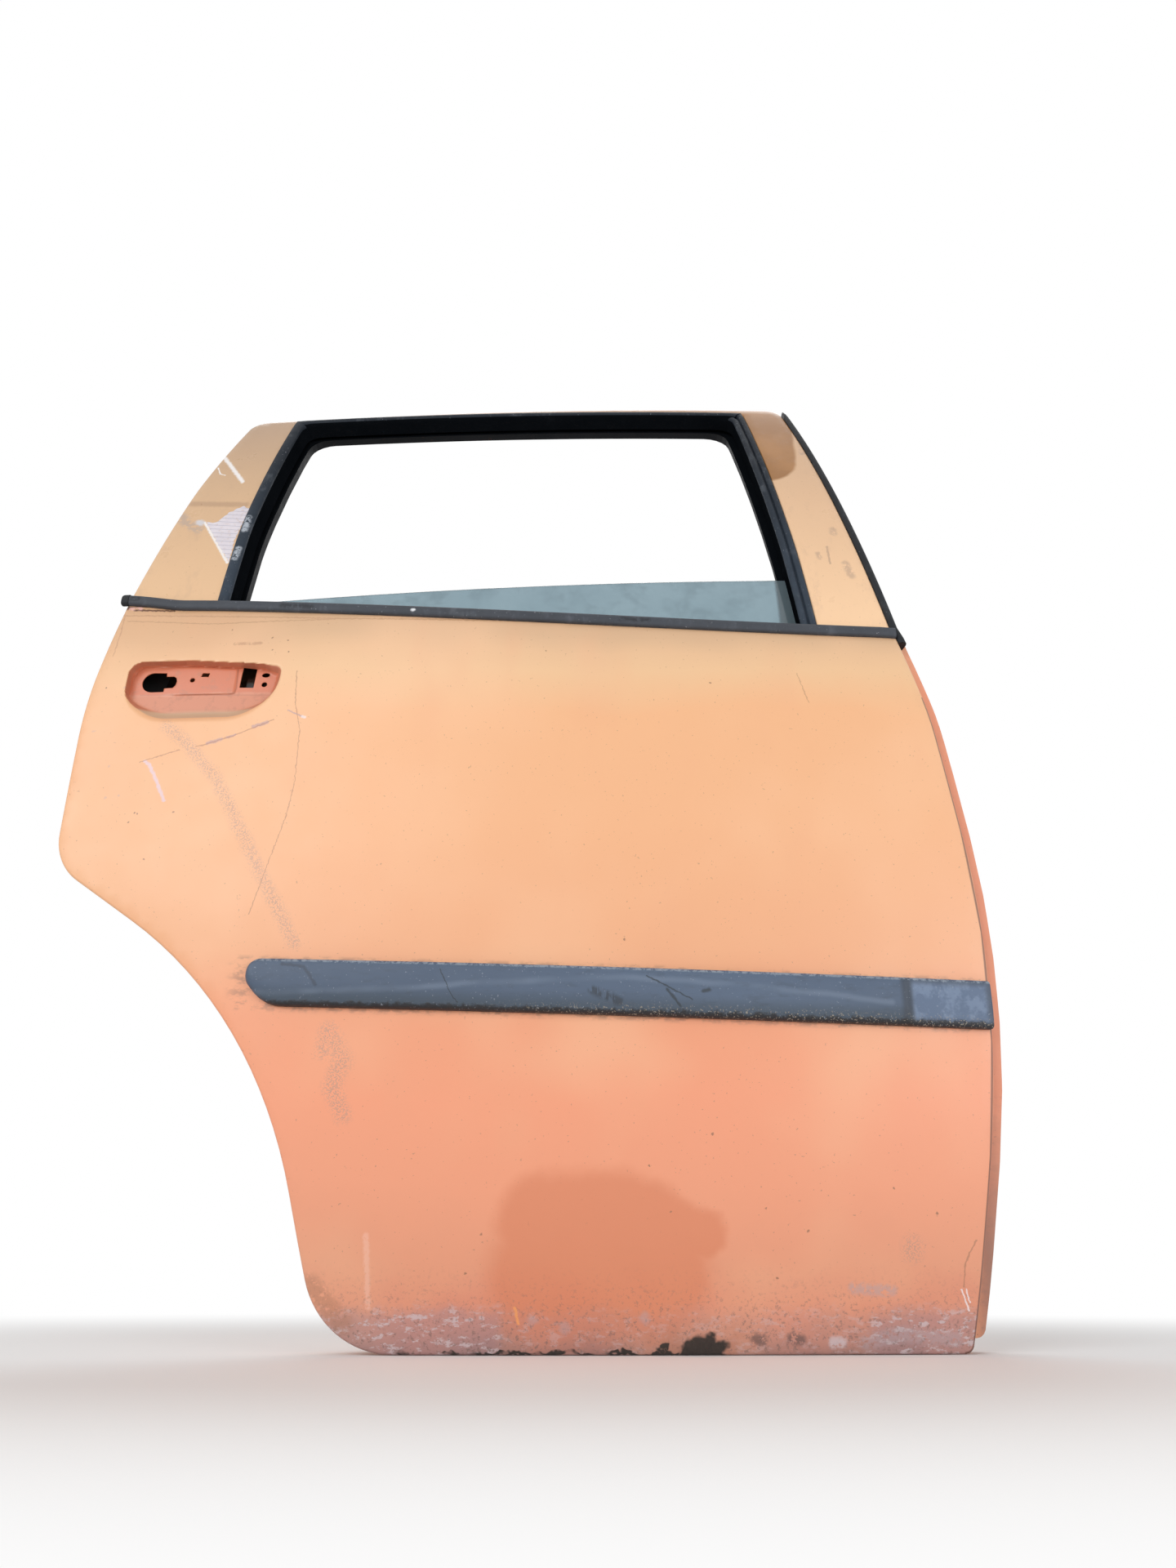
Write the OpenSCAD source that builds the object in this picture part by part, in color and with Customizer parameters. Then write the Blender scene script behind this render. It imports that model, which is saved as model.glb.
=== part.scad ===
// Right-hand rear door of a small five-door car, mm.
// +X to the front of the car, -Y outward, +Z up.
// The origin is on the face of the upper hinge pad, midway between its bolts.

/* [Body] */
// height of the bottom edge
sill_z = -582; // [-600:2:-566]
// rearmost point of the skin
rear_x = -897; // [-905:1:-889]
// how far the skin edge bows forward at mid height
front_x = 30; // [24:1:34]
// how far the pressed nose stands ahead of the skin edge
nose = 13; // [10:1:16]
// sheet metal thickness
sheet = 1.5; // [1.2:0.1:1.8]
// plane of the inner face
face_y = 46; // [43:1:50]
// plane of the seal ledge
ledge_y = 30; // [28:1:32]
// hem flange width
rim = 12; // [11:0.5:14]
// radius of the plan crown
crown_r = 5600; // [5200:100:6200]
// radius of the wheel arch cut
arch_r = 430; // [400:5:450]

/* [Window] */
// height of the belt line at the middle of the door
belt_z = 150.5; // [148:0.5:153]
// height of the roof rail at its front
roof_z = 569; // [562:1:574]
// depth of the outer half of the frame
frame_split = 28; // [27.5:0.5:30]
// depth of the whole frame
frame_depth = 40; // [38:1:44]
// depth of the glass behind the skin
glass_in = 21; // [20.6:0.1:21.4]
// glass thickness
glass_t = 4; // [3.2:0.1:4]
// how far the glass stands above the belt line, middle
glass_up = 52.5; // [40:0.5:60]
// height of the glass
glass_h = 426; // [410:1:440]
// width of the front seal face
seal_front = 21; // [18:0.5:23]
// width of the rear seal face
seal_rear = 12.5; // [11:0.5:14]
// height of the top seal face
seal_top = 22; // [19:0.5:24]

/* [Trim] */
// height of the belt moulding
mould_h = 13.5; // [12:0.5:15]
// how far the belt moulding stands out
mould_out = 6; // [5:0.5:8]
// how far the loose end of the moulding has risen
mould_lift = 9; // [6:0.5:12]
// height of the rub strip
strip_h = 45.5; // [40:0.5:48]
// how far the rub strip stands out
strip_out = 11; // [9:0.5:13]
// middle height of the rub strip
strip_z = -271.5; // [-280:0.5:-262]

/* [Handle recess] */
// depth of the pressed recess
recess_d = 14.5; // [12:0.5:15]
// bottom of the recess
recess_low = 18; // [12:1:22]
// top of the recess
recess_top = 92; // [90:0.5:96]

/* [Hinges and lock] */
// height of the lower hinge below the upper one
hinge_gap = 410; // [390:5:425]
// height of a hinge pad
pad_h = 90; // [84:1:100]
// distance between the two bolts of a hinge
bolt_gap = 50; // [44:1:56]
// bolt hole diameter
bolt_d = 9; // [8:0.2:10]
// hinge plate thickness
plate_t = 3; // [2.5:0.1:4]
// latch body height
latch_h = 78; // [70:1:86]

/* [Inside] */
// diameter of the side beam
beam_d = 30; // [26:0.5:34]
// height of the side beam
beam_z = -300; // [-312:1:-290]
// diameter of the loudspeaker hole
speaker_d = 132; // [120:1:144]
// width of the regulator rail
rail_w = 26; // [22:1:32]
// diameter of the crank spindle
spindle_d = 10; // [8:0.5:12]

/* [Hidden] */
$fn = 48;

tilt = 1.5;
crown_x = -435;
low_z = -620;
far = 300;
reach = 100;
// drawings that only cut run from here to here
span_rear = rear_x - 103;
span_front = front_x + 170;
span_low = sill_z - 118;
span_top = roof_z + 231;
// arcs of the vertical section, bottom to top: radius, first and last lean, steps
arcs = [[500, -24.5, -9, 4], [1500, -9, -3, 2], [2800, -3, 5, 5],
  [760, 5, 11, 3], [1350, 11, 34.5, 8]];
glass_arc = 4;
glass_step = (arcs[glass_arc][2] - arcs[glass_arc][1]) / arcs[glass_arc][3];
section_y = -7.9;

function arc_z(i) = i == 0 ? low_z
  : arc_z(i - 1) + arcs[i - 1][0] * (sin(arcs[i - 1][2]) - sin(arcs[i - 1][1]));
function arc_y(i) = i == 0 ? section_y
  : arc_y(i - 1) - arcs[i - 1][0] * (cos(arcs[i - 1][2]) - cos(arcs[i - 1][1]));
// a point of arc i at lean a, moved inward by o
function on_arc(i, a, o) = let (r = arcs[i][0], a0 = arcs[i][1])
  [arc_z(i) + r * (sin(a) - sin(a0)) - o * sin(a),
   arc_y(i) - r * (cos(a) - cos(a0)) + o * cos(a)];
function section(o) = [for (i = [0 : len(arcs) - 1])
  for (k = [(i == 0 ? 0 : 1) : arcs[i][3]])
  on_arc(i, arcs[i][1] + (arcs[i][2] - arcs[i][1]) * k / arcs[i][3], o)];
function glass_section(o) = [for (k = [-8 : arcs[glass_arc][3]])
  on_arc(glass_arc, arcs[glass_arc][1] + glass_step * k, o)];
function back(l) = [for (i = [len(l) - 1 : -1 : 0]) l[i]];

module revolve(line_a, line_b) {
  translate([crown_x, crown_r, 0]) rotate([0, tilt, 0]) rotate([0, 0, 264])
    rotate_extrude(angle = 12, $fn = 360)
    polygon([for (p = concat(line_a, back(line_b))) [crown_r - p[1], p[0]]]);
}
// layer between two depths behind the outer surface
module band(a, b) {
  revolve(section(a), section(b));
}
// the same behind the surface the glass slides on
module glass_band(a, b) {
  revolve(glass_section(a), glass_section(b));
}
// a drawing in x and z pushed through y0..y1
module prism(y0, y1) {
  translate([0, y1, 0]) rotate([90, 0, 0]) linear_extrude(y1 - y0) children();
}
module box(x0, x1, y0, y1, z0, z1) {
  translate([x0, y0, z0]) cube([x1 - x0, y1 - y0, z1 - z0]);
}

function unit(v) = v / norm(v);
function xy(p) = [p[0], p[1]];
function nx(l, i) = l[(i + 1) % len(l)];
function pv(l, i) = l[(i + len(l) - 1) % len(l)];
function left(v) = [-v[1], v[0]];
function turn(e, f) = e[0] * f[1] - e[1] * f[0];
// corner i moved so that both its edges shift inward by d1 and d2
function moved(p, n1, n2, d1, d2) = d1 == d2
  ? p + (n1 + n2) * d1 / (1 + n1 * n2)
  : p + [d1 * n2[1] - d2 * n1[1], n1[0] * d2 - n2[0] * d1] / turn(n1, n2);
function inset(l, d) = [for (i = [0 : len(l) - 1])
  let (e = unit(xy(l[i]) - xy(pv(l, i))), f = unit(xy(nx(l, i)) - xy(l[i])),
       d1 = pv(d, i), d2 = d[i], m = (d1 + d2) / 2, r = l[i][2],
       q = moved(xy(l[i]), left(e), left(f), d1, d2))
  [q[0], q[1], r == 0 ? 0 : max(0, turn(e, f) > 0 ? r - m : r + m)]];
function with_r(l, r, a, b) = [for (i = [0 : len(l) - 1])
  [l[i][0], l[i][1], i == a || i == b ? r : l[i][2]]];
// corners given as x, z, radius become a rounded outline
function rounded(l) = [for (i = [0 : len(l) - 1])
  let (p = xy(l[i]), u = unit(xy(pv(l, i)) - p), v = unit(xy(nx(l, i)) - p), r = l[i][2])
  each r <= 0 ? [p] :
  let (h = acos(u * v) / 2, c = p + unit(u + v) * (r / sin(h)),
       s = p + u * r / tan(h) - c, e = p + v * r / tan(h) - c,
       a0 = atan2(s[1], s[0]), w = atan2(e[1], e[0]) - a0,
       a = w > 180 ? w - 360 : w < -180 ? w + 360 : w,
       m = max(3, ceil(abs(a) * sqrt(r) / 110)))
  [for (k = [0 : m]) c + r * [cos(a0 + a * k / m), sin(a0 + a * k / m)]]];

// outline of the door, seen from outside; the front edge comes first
roof_rise = 48;
bottom_rear_x = rear_x + 297;
DOOR = [[-24, sill_z, 8], [front_x, -262, 1100], [-4, 25, 400], [-26, 116, 0],
  [-106.5, roof_z, 22], [bottom_rear_x, roof_z - roof_rise * 0.73, 0],
  [rear_x + 92.5, roof_z - roof_rise, 26], [rear_x + 56, 365, 900],
  [rear_x + 19, 170, 0], [rear_x - 1, 40, 500], [rear_x, -139, 60],
  [rear_x + 223.5, -291, arch_r],
  [bottom_rear_x, sill_z, 80]];
// the outline with its front edges moved by f and the others by d
function door(f, d) = inset(DOOR, [for (i = [0 : len(DOOR) - 1]) i < 4 ? f : d]);
module area(f, d) {
  polygon(rounded(door(f, d)));
}
module edge_strip(a, b) {
  difference() {
    area(a, a);
    area(b, b);
  }
}

belt_fall = 0.0459;
belt_mid_x = -454;
function belt_at(x) = belt_z - belt_fall * (x - belt_mid_x);
belt_lean = atan(belt_fall);
// half planes under and over a line parallel to the belt, and the strip between
module under(d) {
  polygon([[span_rear, span_low], [span_front, span_low],
    [span_front, belt_at(span_front) + d], [span_rear, belt_at(span_rear) + d]]);
}
module over(d) {
  polygon([[span_rear, span_top], [span_rear, belt_at(span_rear) + d],
    [span_front, belt_at(span_front) + d], [span_front, span_top]]);
}
module belt_strip(x0, x1, d0, d1) {
  polygon([[x0, belt_at(x0) + d0], [x1, belt_at(x1) + d0],
    [x1, belt_at(x1) + d1], [x0, belt_at(x0) + d1]]);
}

// edge of the painted frame around the window; right, top, left
win_foot = 60;
win_rear = rear_x + 152;
WINDOW = [[-107, win_foot, 0], [-125, 258, 900], [-157, roof_z - 20, 4],
  [win_rear, roof_z - 52.5, 4], [win_rear - 22, 290, 700],
  [win_rear - 30, win_foot, 0]];
function window(r, t, l) = inset(WINDOW, [r, r, t, l, l, 0]);
module win(r, t, l, c = 0) {
  polygon(rounded(c > 0 ? with_r(window(r, t, l), c, 2, 3) : window(r, t, l)));
}
open_front = 22;
open_top = 6;
open_rear = 15;
open_r = 30;
module opening(g = 0) {
  win(open_front - g, open_top - g, open_rear - g, open_r + g);
}

hem_w = 8;
step_d = 16;
nose_top = -6;
pad_y0 = -18;
bolt_y = 0;
lower_z = -hinge_gap;

// ---- outer panel

recess_l = rear_x + 39;
recess_r = recess_l + 168;
scoop_z = 48;
RECESS = [[recess_l + 11, recess_low, 46], [recess_r - 10, recess_low, 34],
  [recess_r, recess_top, 8], [recess_l, recess_top, 12]];
hole_z = 66;
module recess_shape(g) {
  intersection() {
    prism(-far, far) polygon(rounded(inset(RECESS, [-g, -g, -g, -g])));
    band(-20, recess_d + g);
    // the lower half comes forward as a scoop
    translate([-far * 4, 0, 0]) rotate([90, 0, 90]) linear_extrude(far * 4)
      polygon([[-far, recess_low - 12 - g], [-54 - g, recess_low - 12 - g],
        [-54 + recess_d + g, scoop_z - 12 - g], [far, scoop_z - 12 - g], [far, 200], [-far, 200]]);
  }
}
module recess_holes() {
  prism(-80, 0) translate([recess_l, hole_z]) {
    translate([24, 7]) circle(r = 12.3);
    translate([24, 0]) square([25, 14]);
    translate([67, 8]) circle(d = 5.5);
    translate([76, 11]) square([8.2, 5]);
    translate([118, -3]) square([19.5, 25]);
    translate([145, 12]) circle(d = 7);
    translate([145.6, 0]) circle(d = 6);
  }
}
module outer_skin() {
  color([0.93, 0.62, 0.38]) difference() {
    union() {
      difference() {
        intersection() {
          band(0, sheet * 3);
          prism(-far, far) intersection() {
            area(0, 0);
            under(0);
          }
        }
        intersection() {
          band(sheet, sheet * 4);
          prism(-far, far) area(hem_w, hem_w);
        }
        intersection() {
          band(sheet, sheet * 2);
          prism(-far, far) area(sheet, sheet);
        }
      }
      intersection() {
        recess_shape(sheet);
        band(0, recess_d + sheet * 2);
      }
    }
    recess_shape(0);
    recess_holes();
  }
}

// ---- inner panel

// the raised inner face stands in from the body walls by these shares of the rim
face_front = 1.3;
face_rear = 2.5;
module tray(g) {
  top = -g;
  // body behind the hem
  difference() {
    prism(-reach, ledge_y - g) intersection() {
      area(rim + g, rim + g);
      under(top);
    }
    if (g == 0) {
      band(-reach * 1.4, sheet * 2);
    }
  }
  // nose ahead of the skin edge
  difference() {
    prism(-reach, ledge_y - g) intersection() {
      area(g - nose, rim + g);
      under(nose_top + top);
    }
    band(-reach * 1.4, step_d + g);
  }
  // raised inner face
  prism(0, face_y - g) intersection() {
    area(rim * face_front + g, rim * face_rear + g);
    under(top);
  }
}
module hinge_pockets(g) {
  for (z = [0, lower_z]) {
    box(-g, 90, pad_y0 - g, 100, z - pad_h / 2 - g, z + pad_h / 2 + g);
  }
}
field_d = 7;
// the sunk field round the service holes
field_rear = rear_x + 207;
FIELD = [[-138, -205, 30], [-138, 72, 30], [field_rear, 95, 35], [field_rear, -205, 35]];
module sunk_field(g) {
  prism(face_y - field_d - g, reach) polygon(rounded(inset(FIELD, [-g, -g, -g, -g])));
}
hole_x = rear_x + 249;
hole_w = 180;
HOLE_REAR = [[hole_x + hole_w, -172, 30], [hole_x + hole_w, 48, 30], [hole_x, 58, 30],
  [hole_x, -172, 30]];
HOLE_FRONT = [[-166, -172, 30], [-166, 36, 30], [-340, 44, 30], [-340, -172, 30]];
drive_x = -400;
drive_z = -120;
speaker_x = -165;
speaker_z = -395;
plug_d = 30;
PLUGS = [[-70, -262], [win_rear, -10], [-480, -430]];
clip_d = 8;
CLIPS = [[-70, -120], [-60, 70], [rear_x + 127, 96], [rear_x + 67, -60],
  [rear_x + 257, -270], [bottom_rear_x + 40, -500], [-350, -515], [-90, -500]];
module face_holes() {
  prism(20, 80) {
    polygon(rounded(HOLE_REAR));
    polygon(rounded(HOLE_FRONT));
    translate([drive_x, drive_z]) circle(d = spindle_d + 12);
    translate([speaker_x, speaker_z]) circle(d = speaker_d);
    for (a = [45 : 90 : 315]) {
      translate([speaker_x, speaker_z]) rotate(a) translate([speaker_d / 2 + 11, 0])
        circle(d = 5);
    }
    for (p = PLUGS) {
      translate(p) circle(d = plug_d);
    }
    for (p = CLIPS) {
      translate(p) circle(d = clip_d);
    }
    // pull handle and inner release handle
    translate([rear_x + 167, 35]) square([26, 60], center = true);
    translate([-400, -240]) circle(d = 8);
    translate([-520, -240]) circle(d = 8);
  }
}
latch_z = 66;
latch_y = 4;
module wall_holes() {
  // hinge bolts, check strap, harness hole in the front wall
  for (z = [0, lower_z], s = [-0.5, 0.5]) {
    translate([-20, bolt_y, z + s * bolt_gap]) rotate([0, 90, 0])
      cylinder(d = bolt_d, h = 60);
  }
  box(10, 60, -6, 10, -225, -185);
  translate([-20, 2, -110]) rotate([0, 90, 0]) cylinder(d = 24, h = 80);
  // latch mouth and its three screws
  box(rear_x - 20, rear_x + 30, latch_y - 8, latch_y + 8, latch_z - 24, latch_z + 10);
  for (p = [[-16, 26], [16, 26], [16, -30]]) {
    translate([rear_x - 20, latch_y + p[0], latch_z + p[1]]) rotate([0, 90, 0])
      cylinder(d = 6.6, h = 50);
  }
  // drain slots along the bottom
  for (x = [bottom_rear_x + 80, -300, -80]) {
    box(x, x + 26, -6, 2, sill_z, sill_z + 30);
  }
}
slot_in = 30;
flange_h = 8;
seal_x0 = rear_x + 97;
seal_x1 = -90;
module inner_panel() {
  color([0.89, 0.55, 0.36]) {
    difference() {
      difference() {
        tray(0);
        hinge_pockets(0);
        sunk_field(0);
      }
      difference() {
        tray(sheet);
        hinge_pockets(sheet);
        sunk_field(sheet);
      }
      // slot the glass drops through
      intersection() {
        band(-80, slot_in);
        prism(-far, far) intersection() {
          win(0, 0, 0);
          over(-12);
        }
      }
      face_holes();
      wall_holes();
    }
    // hem flange
    intersection() {
      band(sheet, sheet * 2);
      prism(-far, far) intersection() {
        difference() {
          area(sheet, sheet);
          area(rim + sheet, rim + sheet);
        }
        under(0);
      }
    }
    // upright flange for the inner belt seal
    intersection() {
      band(slot_in, slot_in + sheet);
      prism(-far, far) intersection() {
        win(4, 4, 4);
        belt_strip(seal_x0, seal_x1, -sheet, flange_h);
      }
    }
  }
}

// ---- window frame

tab_h = 38;
module pillars(d) {
  difference() {
    area(d, d);
    win(sheet, 0, sheet);
  }
}
module frame_outer() {
  color([0.72, 0.5, 0.28]) {
    difference() {
      intersection() {
        band(0, frame_split);
        prism(-far, far) intersection() {
          difference() {
            area(0, 0);
            win(0, 0, 0);
          }
          over(0);
        }
      }
      intersection() {
        band(sheet, frame_split + 5);
        prism(-far, far) difference() {
          area(sheet, sheet);
          win(-sheet, -sheet, -sheet);
        }
      }
    }
    // joggled tabs behind the top of the skin
    intersection() {
      band(sheet, sheet * 2);
      prism(-far, far) intersection() {
        difference() {
          area(rim + sheet, rim + sheet);
          win(-sheet, 0, -sheet);
        }
        belt_strip(span_rear, 0, -tab_h, 3);
      }
    }
  }
}
module frame_inner() {
  color([0.68, 0.47, 0.27]) difference() {
    union() {
      intersection() {
        band(frame_split, frame_depth);
        prism(-far, far) intersection() {
          difference() {
            area(rim, rim);
            opening();
          }
          over(0);
        }
      }
      intersection() {
        band(frame_split, frame_split + sheet);
        prism(-far, far) intersection() {
          difference() {
            area(0, 0);
            opening();
          }
          over(0);
        }
      }
    }
    intersection() {
      band(frame_split + sheet, frame_depth - sheet);
      prism(-far, far) difference() {
        area(rim + sheet, rim + sheet);
        opening(sheet);
      }
    }
    intersection() {
      band(frame_split - 1, frame_split + sheet + 1);
      prism(-far, far) difference() {
        area(rim + sheet, rim + sheet);
        win(0, 0, 0);
      }
    }
  }
}

// ---- braces and plates

brace_low = -46;
brace_x0 = rear_x + 142;
brace_x1 = -128;
module belt_brace_outer() {
  color([0.5, 0.5, 0.5]) {
    intersection() {
      band(sheet, sheet + 1.5);
      prism(-far, far) belt_strip(brace_x0, brace_x1, brace_low - 1, -2);
    }
    intersection() {
      band(sheet, sheet + 7);
      prism(-far, far) belt_strip(brace_x0, brace_x1, brace_low - 2, brace_low);
    }
  }
}
module belt_brace_inner() {
  color([0.5, 0.5, 0.5]) {
    prism(face_y - sheet - 1.5, face_y - sheet) belt_strip(brace_x0 + 55, brace_x1 + 18, -32, -4);
    prism(face_y - sheet - 9, face_y - sheet) belt_strip(brace_x0 + 55, brace_x1 + 18, -6, -4);
  }
}
module hinge_plate() {
  difference() {
    box(-sheet - plate_t, -sheet, pad_y0 + 4, ledge_y - sheet - 2, 4 - pad_h / 2, pad_h / 2 - 4);
    for (s = [-0.5, 0.5]) {
      translate([-20, bolt_y, s * bolt_gap]) rotate([0, 90, 0]) cylinder(d = bolt_d, h = 60);
    }
  }
}
module upper_hinge_plate() {
  color([0.45, 0.45, 0.47]) hinge_plate();
}
module lower_hinge_plate() {
  color([0.45, 0.45, 0.47]) translate([0, 0, lower_z]) hinge_plate();
}
latch_back = 2;
module latch_plate() {
  color([0.45, 0.45, 0.47]) difference() {
    prism(latch_y - 24, latch_y + 20) intersection() {
      edge_strip(rim + sheet, rim + sheet + latch_back);
      translate([rear_x - 3, latch_z - latch_h / 2 - 4]) square([60, latch_h + 8]);
    }
    wall_holes();
  }
}
latch_w = 46;
module door_latch() {
  color([0.55, 0.53, 0.48]) difference() {
    prism(latch_y - 20, latch_y + 20) intersection() {
      edge_strip(rim + sheet + latch_back, rim + sheet + latch_back + latch_w);
      translate([rear_x - 3, latch_z - latch_h / 2]) square([90, latch_h]);
    }
    // mouth for the striker
    box(rear_x, rear_x + 44, latch_y - 8, latch_y + 30, latch_z - 16, latch_z + 2);
    // step behind the handle
    box(rear_x + 36, rear_x + 80, latch_y - 40, latch_y - 4, latch_z - 60, latch_z + 60);
  }
}

// ---- side beam

beam_y = -28;
beam_x0 = rear_x + 275;
beam_x1 = -22;
module side_beam() {
  color([0.3, 0.3, 0.32]) translate([beam_x0, beam_y, beam_z]) rotate([0, 90, 0]) difference() {
    cylinder(d = beam_d, h = beam_x1 - beam_x0);
    translate([0, 0, -1]) cylinder(d = beam_d - 5, h = beam_x1 - beam_x0 + 2);
  }
}
// stands on the inner face and carries one end of the beam
module bracket(x, s) {
  foot = 34;
  h = beam_d + 22;
  difference() {
    union() {
      box(min(x, x + s * 3), max(x, x + s * 3), beam_y - beam_d / 2 - 1, face_y - sheet,
        beam_z - h / 2, beam_z + h / 2);
      box(min(x, x - s * foot), max(x, x - s * foot), face_y - sheet - 3, face_y - sheet,
        beam_z - h / 2, beam_z + h / 2);
    }
    translate([x - s * foot * 0.6, 0, beam_z]) rotate([-90, 0, 0]) cylinder(d = 8, h = 60);
  }
}
module beam_bracket_front() {
  color([0.35, 0.35, 0.37]) bracket(beam_x1, 1);
}
module beam_bracket_rear() {
  color([0.35, 0.35, 0.37]) bracket(beam_x0, -1);
}

// ---- glass and its seals

rake = 0.09;
glass_front = -125.5;
glass_rear = rear_x + 130.5;
glass_mid = -457;
glass_top_fall = 0.062;
function glass_top(x) = belt_z + glass_up + (x - glass_mid) * glass_top_fall;
// outline of the lowered glass, grown sideways by g
function glass_pts(g) = let (z0 = belt_z + glass_up - glass_h)
  [[glass_front + rake * (glass_top(glass_front) - z0) + g, z0, 0],
   [glass_front + g, glass_top(glass_front), 0],
   [glass_mid, belt_z + glass_up, 4000],
   [glass_rear - g, glass_top(glass_rear) - 4, 0],
   [glass_rear + rake * (glass_top(glass_rear) - z0) - g, z0, 0]];
module window_glass() {
  color([0.45, 0.55, 0.52, 0.5]) intersection() {
    glass_band(glass_in, glass_in + glass_t);
    prism(-far, far) polygon(rounded(glass_pts(0)));
  }
}
run_t = 3;
lip_d = 2;
fin_t = 2.5;
// full seal round the window, cut up into its three parts
module seal_all() {
  intersection() {
    band(lip_d, lip_d + run_t);
    prism(-far, far) difference() {
      win(0, 0, 0);
      win(seal_front, seal_top, seal_rear, 12);
    }
  }
  intersection() {
    band(lip_d, glass_in);
    prism(-far, far) difference() {
      win(seal_front - fin_t, seal_top - fin_t, seal_rear - fin_t, 12 + fin_t);
      win(seal_front, seal_top, seal_rear, 12);
    }
  }
  intersection() {
    band(lip_d, frame_split);
    prism(-far, far) difference() {
      win(0, 0, 0);
      win(run_t, run_t, run_t);
    }
  }
  intersection() {
    band(glass_in + glass_t, frame_split);
    prism(-far, far) difference() {
      win(0, 0, 0);
      win(open_front - 1, open_top - 1, open_rear - 1, open_r);
    }
  }
}
// mitre areas at the two upper corners
module rear_part() {
  polygon([[seal_x0, win_foot], [win_rear + 45, win_foot], [win_rear + 45, 440],
    [win_rear + 12, roof_z - 52 - seal_top], [win_rear, roof_z - 52.5],
    [win_rear - 15, roof_z - 40], [seal_x0, roof_z - 40]]);
}
module front_part() {
  polygon([[-60, 60], [-60, roof_z], [-140, roof_z], [-157, roof_z - 20],
    [-157 - seal_front, roof_z - 24 - seal_top], [-240, 440], [-240, 60]]);
}
module glass_run_rear() {
  color([0.09, 0.1, 0.12]) intersection() {
    seal_all();
    prism(-far, far) intersection() {
      rear_part();
      over(0);
    }
  }
}
module glass_run_front() {
  color([0.09, 0.1, 0.12]) intersection() {
    seal_all();
    prism(-far, far) intersection() {
      front_part();
      over(0);
    }
  }
}
module glass_run_top() {
  color([0.07, 0.07, 0.08]) intersection() {
    seal_all();
    prism(-far, far) difference() {
      translate([seal_x0, 380]) square([-100 - seal_x0, 240]);
      rear_part();
      front_part();
    }
  }
}
guide_low = -190;
guide_top = 110;
// channel that takes the glass edge inside the door; s is the side it faces
module guide(x0, s) {
  function line(g, z) = x0 + rake * (glass_top(x0) - z) + g * s;
  module side(g0, g1) {
    polygon([[line(g0, guide_low), guide_low], [line(g1, guide_low), guide_low],
      [line(g1, guide_top), guide_top], [line(g0, guide_top), guide_top]]);
  }
  difference() {
    union() {
      intersection() {
        glass_band(glass_in - 2, glass_in + glass_t + 1.5);
        prism(-far, far) side(-9, 3);
      }
      // feet on the inner face
      for (z = [-150, 80]) {
        intersection() {
          box(line(-3, z) - 5, line(-3, z) + 5, -60, face_y - sheet, z - 9, z + 9);
          glass_band(glass_in + 1, 120);
        }
      }
    }
    // gap for the glass, open at one side
    intersection() {
      glass_band(glass_in - 0.5, glass_in + glass_t);
      prism(-far, far) side(-20, 1.5);
    }
  }
}
module guide_channel_rear() {
  color([0.25, 0.25, 0.27]) guide(glass_rear, -1);
}
module guide_channel_front() {
  color([0.25, 0.25, 0.27]) guide(glass_front, 1);
}

// ---- trim

mould_x0 = rear_x + 21;
mould_x1 = -29;
lift_x = mould_x0 + 41;
module belt_moulding() {
  h = mould_h / 2;
  color([0.12, 0.13, 0.15]) {
    intersection() {
      band(-mould_out, 0);
      prism(-far, far) polygon([[mould_x0, belt_at(mould_x0) + mould_lift - h],
        [lift_x, belt_at(lift_x) - h], [mould_x1, belt_at(mould_x1) - h],
        [mould_x1, belt_at(mould_x1) + h], [lift_x, belt_at(lift_x) + h],
        [mould_x0, belt_at(mould_x0) + mould_lift + h]]);
    }
    // lip that wipes the glass
    intersection() {
      band(-mould_out, glass_in);
      prism(-far, far) intersection() {
        win(seal_front, 0, seal_rear);
        belt_strip(seal_x0, seal_x1, 3, h);
      }
    }
  }
}
cap_l = 15;
module moulding_cap() {
  h = mould_h / 2 + 1.5;
  color([0.05, 0.05, 0.06]) intersection() {
    band(-mould_out - 1.5, 0);
    prism(-far, far) translate([mould_x0, belt_at(mould_x0) + mould_lift]) difference() {
      union() {
        translate([-cap_l + h, 0]) circle(r = h);
        translate([-cap_l + h, -h]) square([cap_l - h, 2 * h]);
      }
      translate([0, -2 * h]) square(4 * h);
    }
  }
}
module inner_belt_seal() {
  color([0.1, 0.1, 0.11]) {
    intersection() {
      band(slot_in - 2, slot_in + sheet + 2);
      prism(-far, far) intersection() {
        win(open_front + 2, 4, open_rear + 2);
        belt_strip(seal_x0, seal_x1, flange_h, flange_h + 3);
      }
    }
    for (o = [slot_in - 2, slot_in + sheet]) {
      intersection() {
        band(o, o + 2);
        prism(-far, far) intersection() {
          win(open_front + 2, 4, open_rear + 2);
          belt_strip(seal_x0, seal_x1, 1, flange_h + 3);
        }
      }
    }
    intersection() {
      band(glass_in + glass_t, slot_in - 2);
      prism(-far, far) intersection() {
        win(open_front + 2, 4, open_rear + 2);
        belt_strip(seal_x0, seal_x1, 5, 8);
      }
    }
  }
}
strip_fall = 0.027;
strip_x0 = rear_x + 190;
strip_x1 = 18;
pad_x = -60;
function strip_at(x) = strip_z - strip_fall * (x + 334);
STRIP = [[strip_x0 + 38, strip_at(strip_x0) - strip_h / 2, 40],
  [strip_x1 - 1, strip_at(strip_x1) - strip_h / 2, 3],
  [strip_x1, strip_at(strip_x1) + strip_h / 2, 3],
  [strip_x0, strip_at(strip_x0) + strip_h / 2, 12]];
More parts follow.
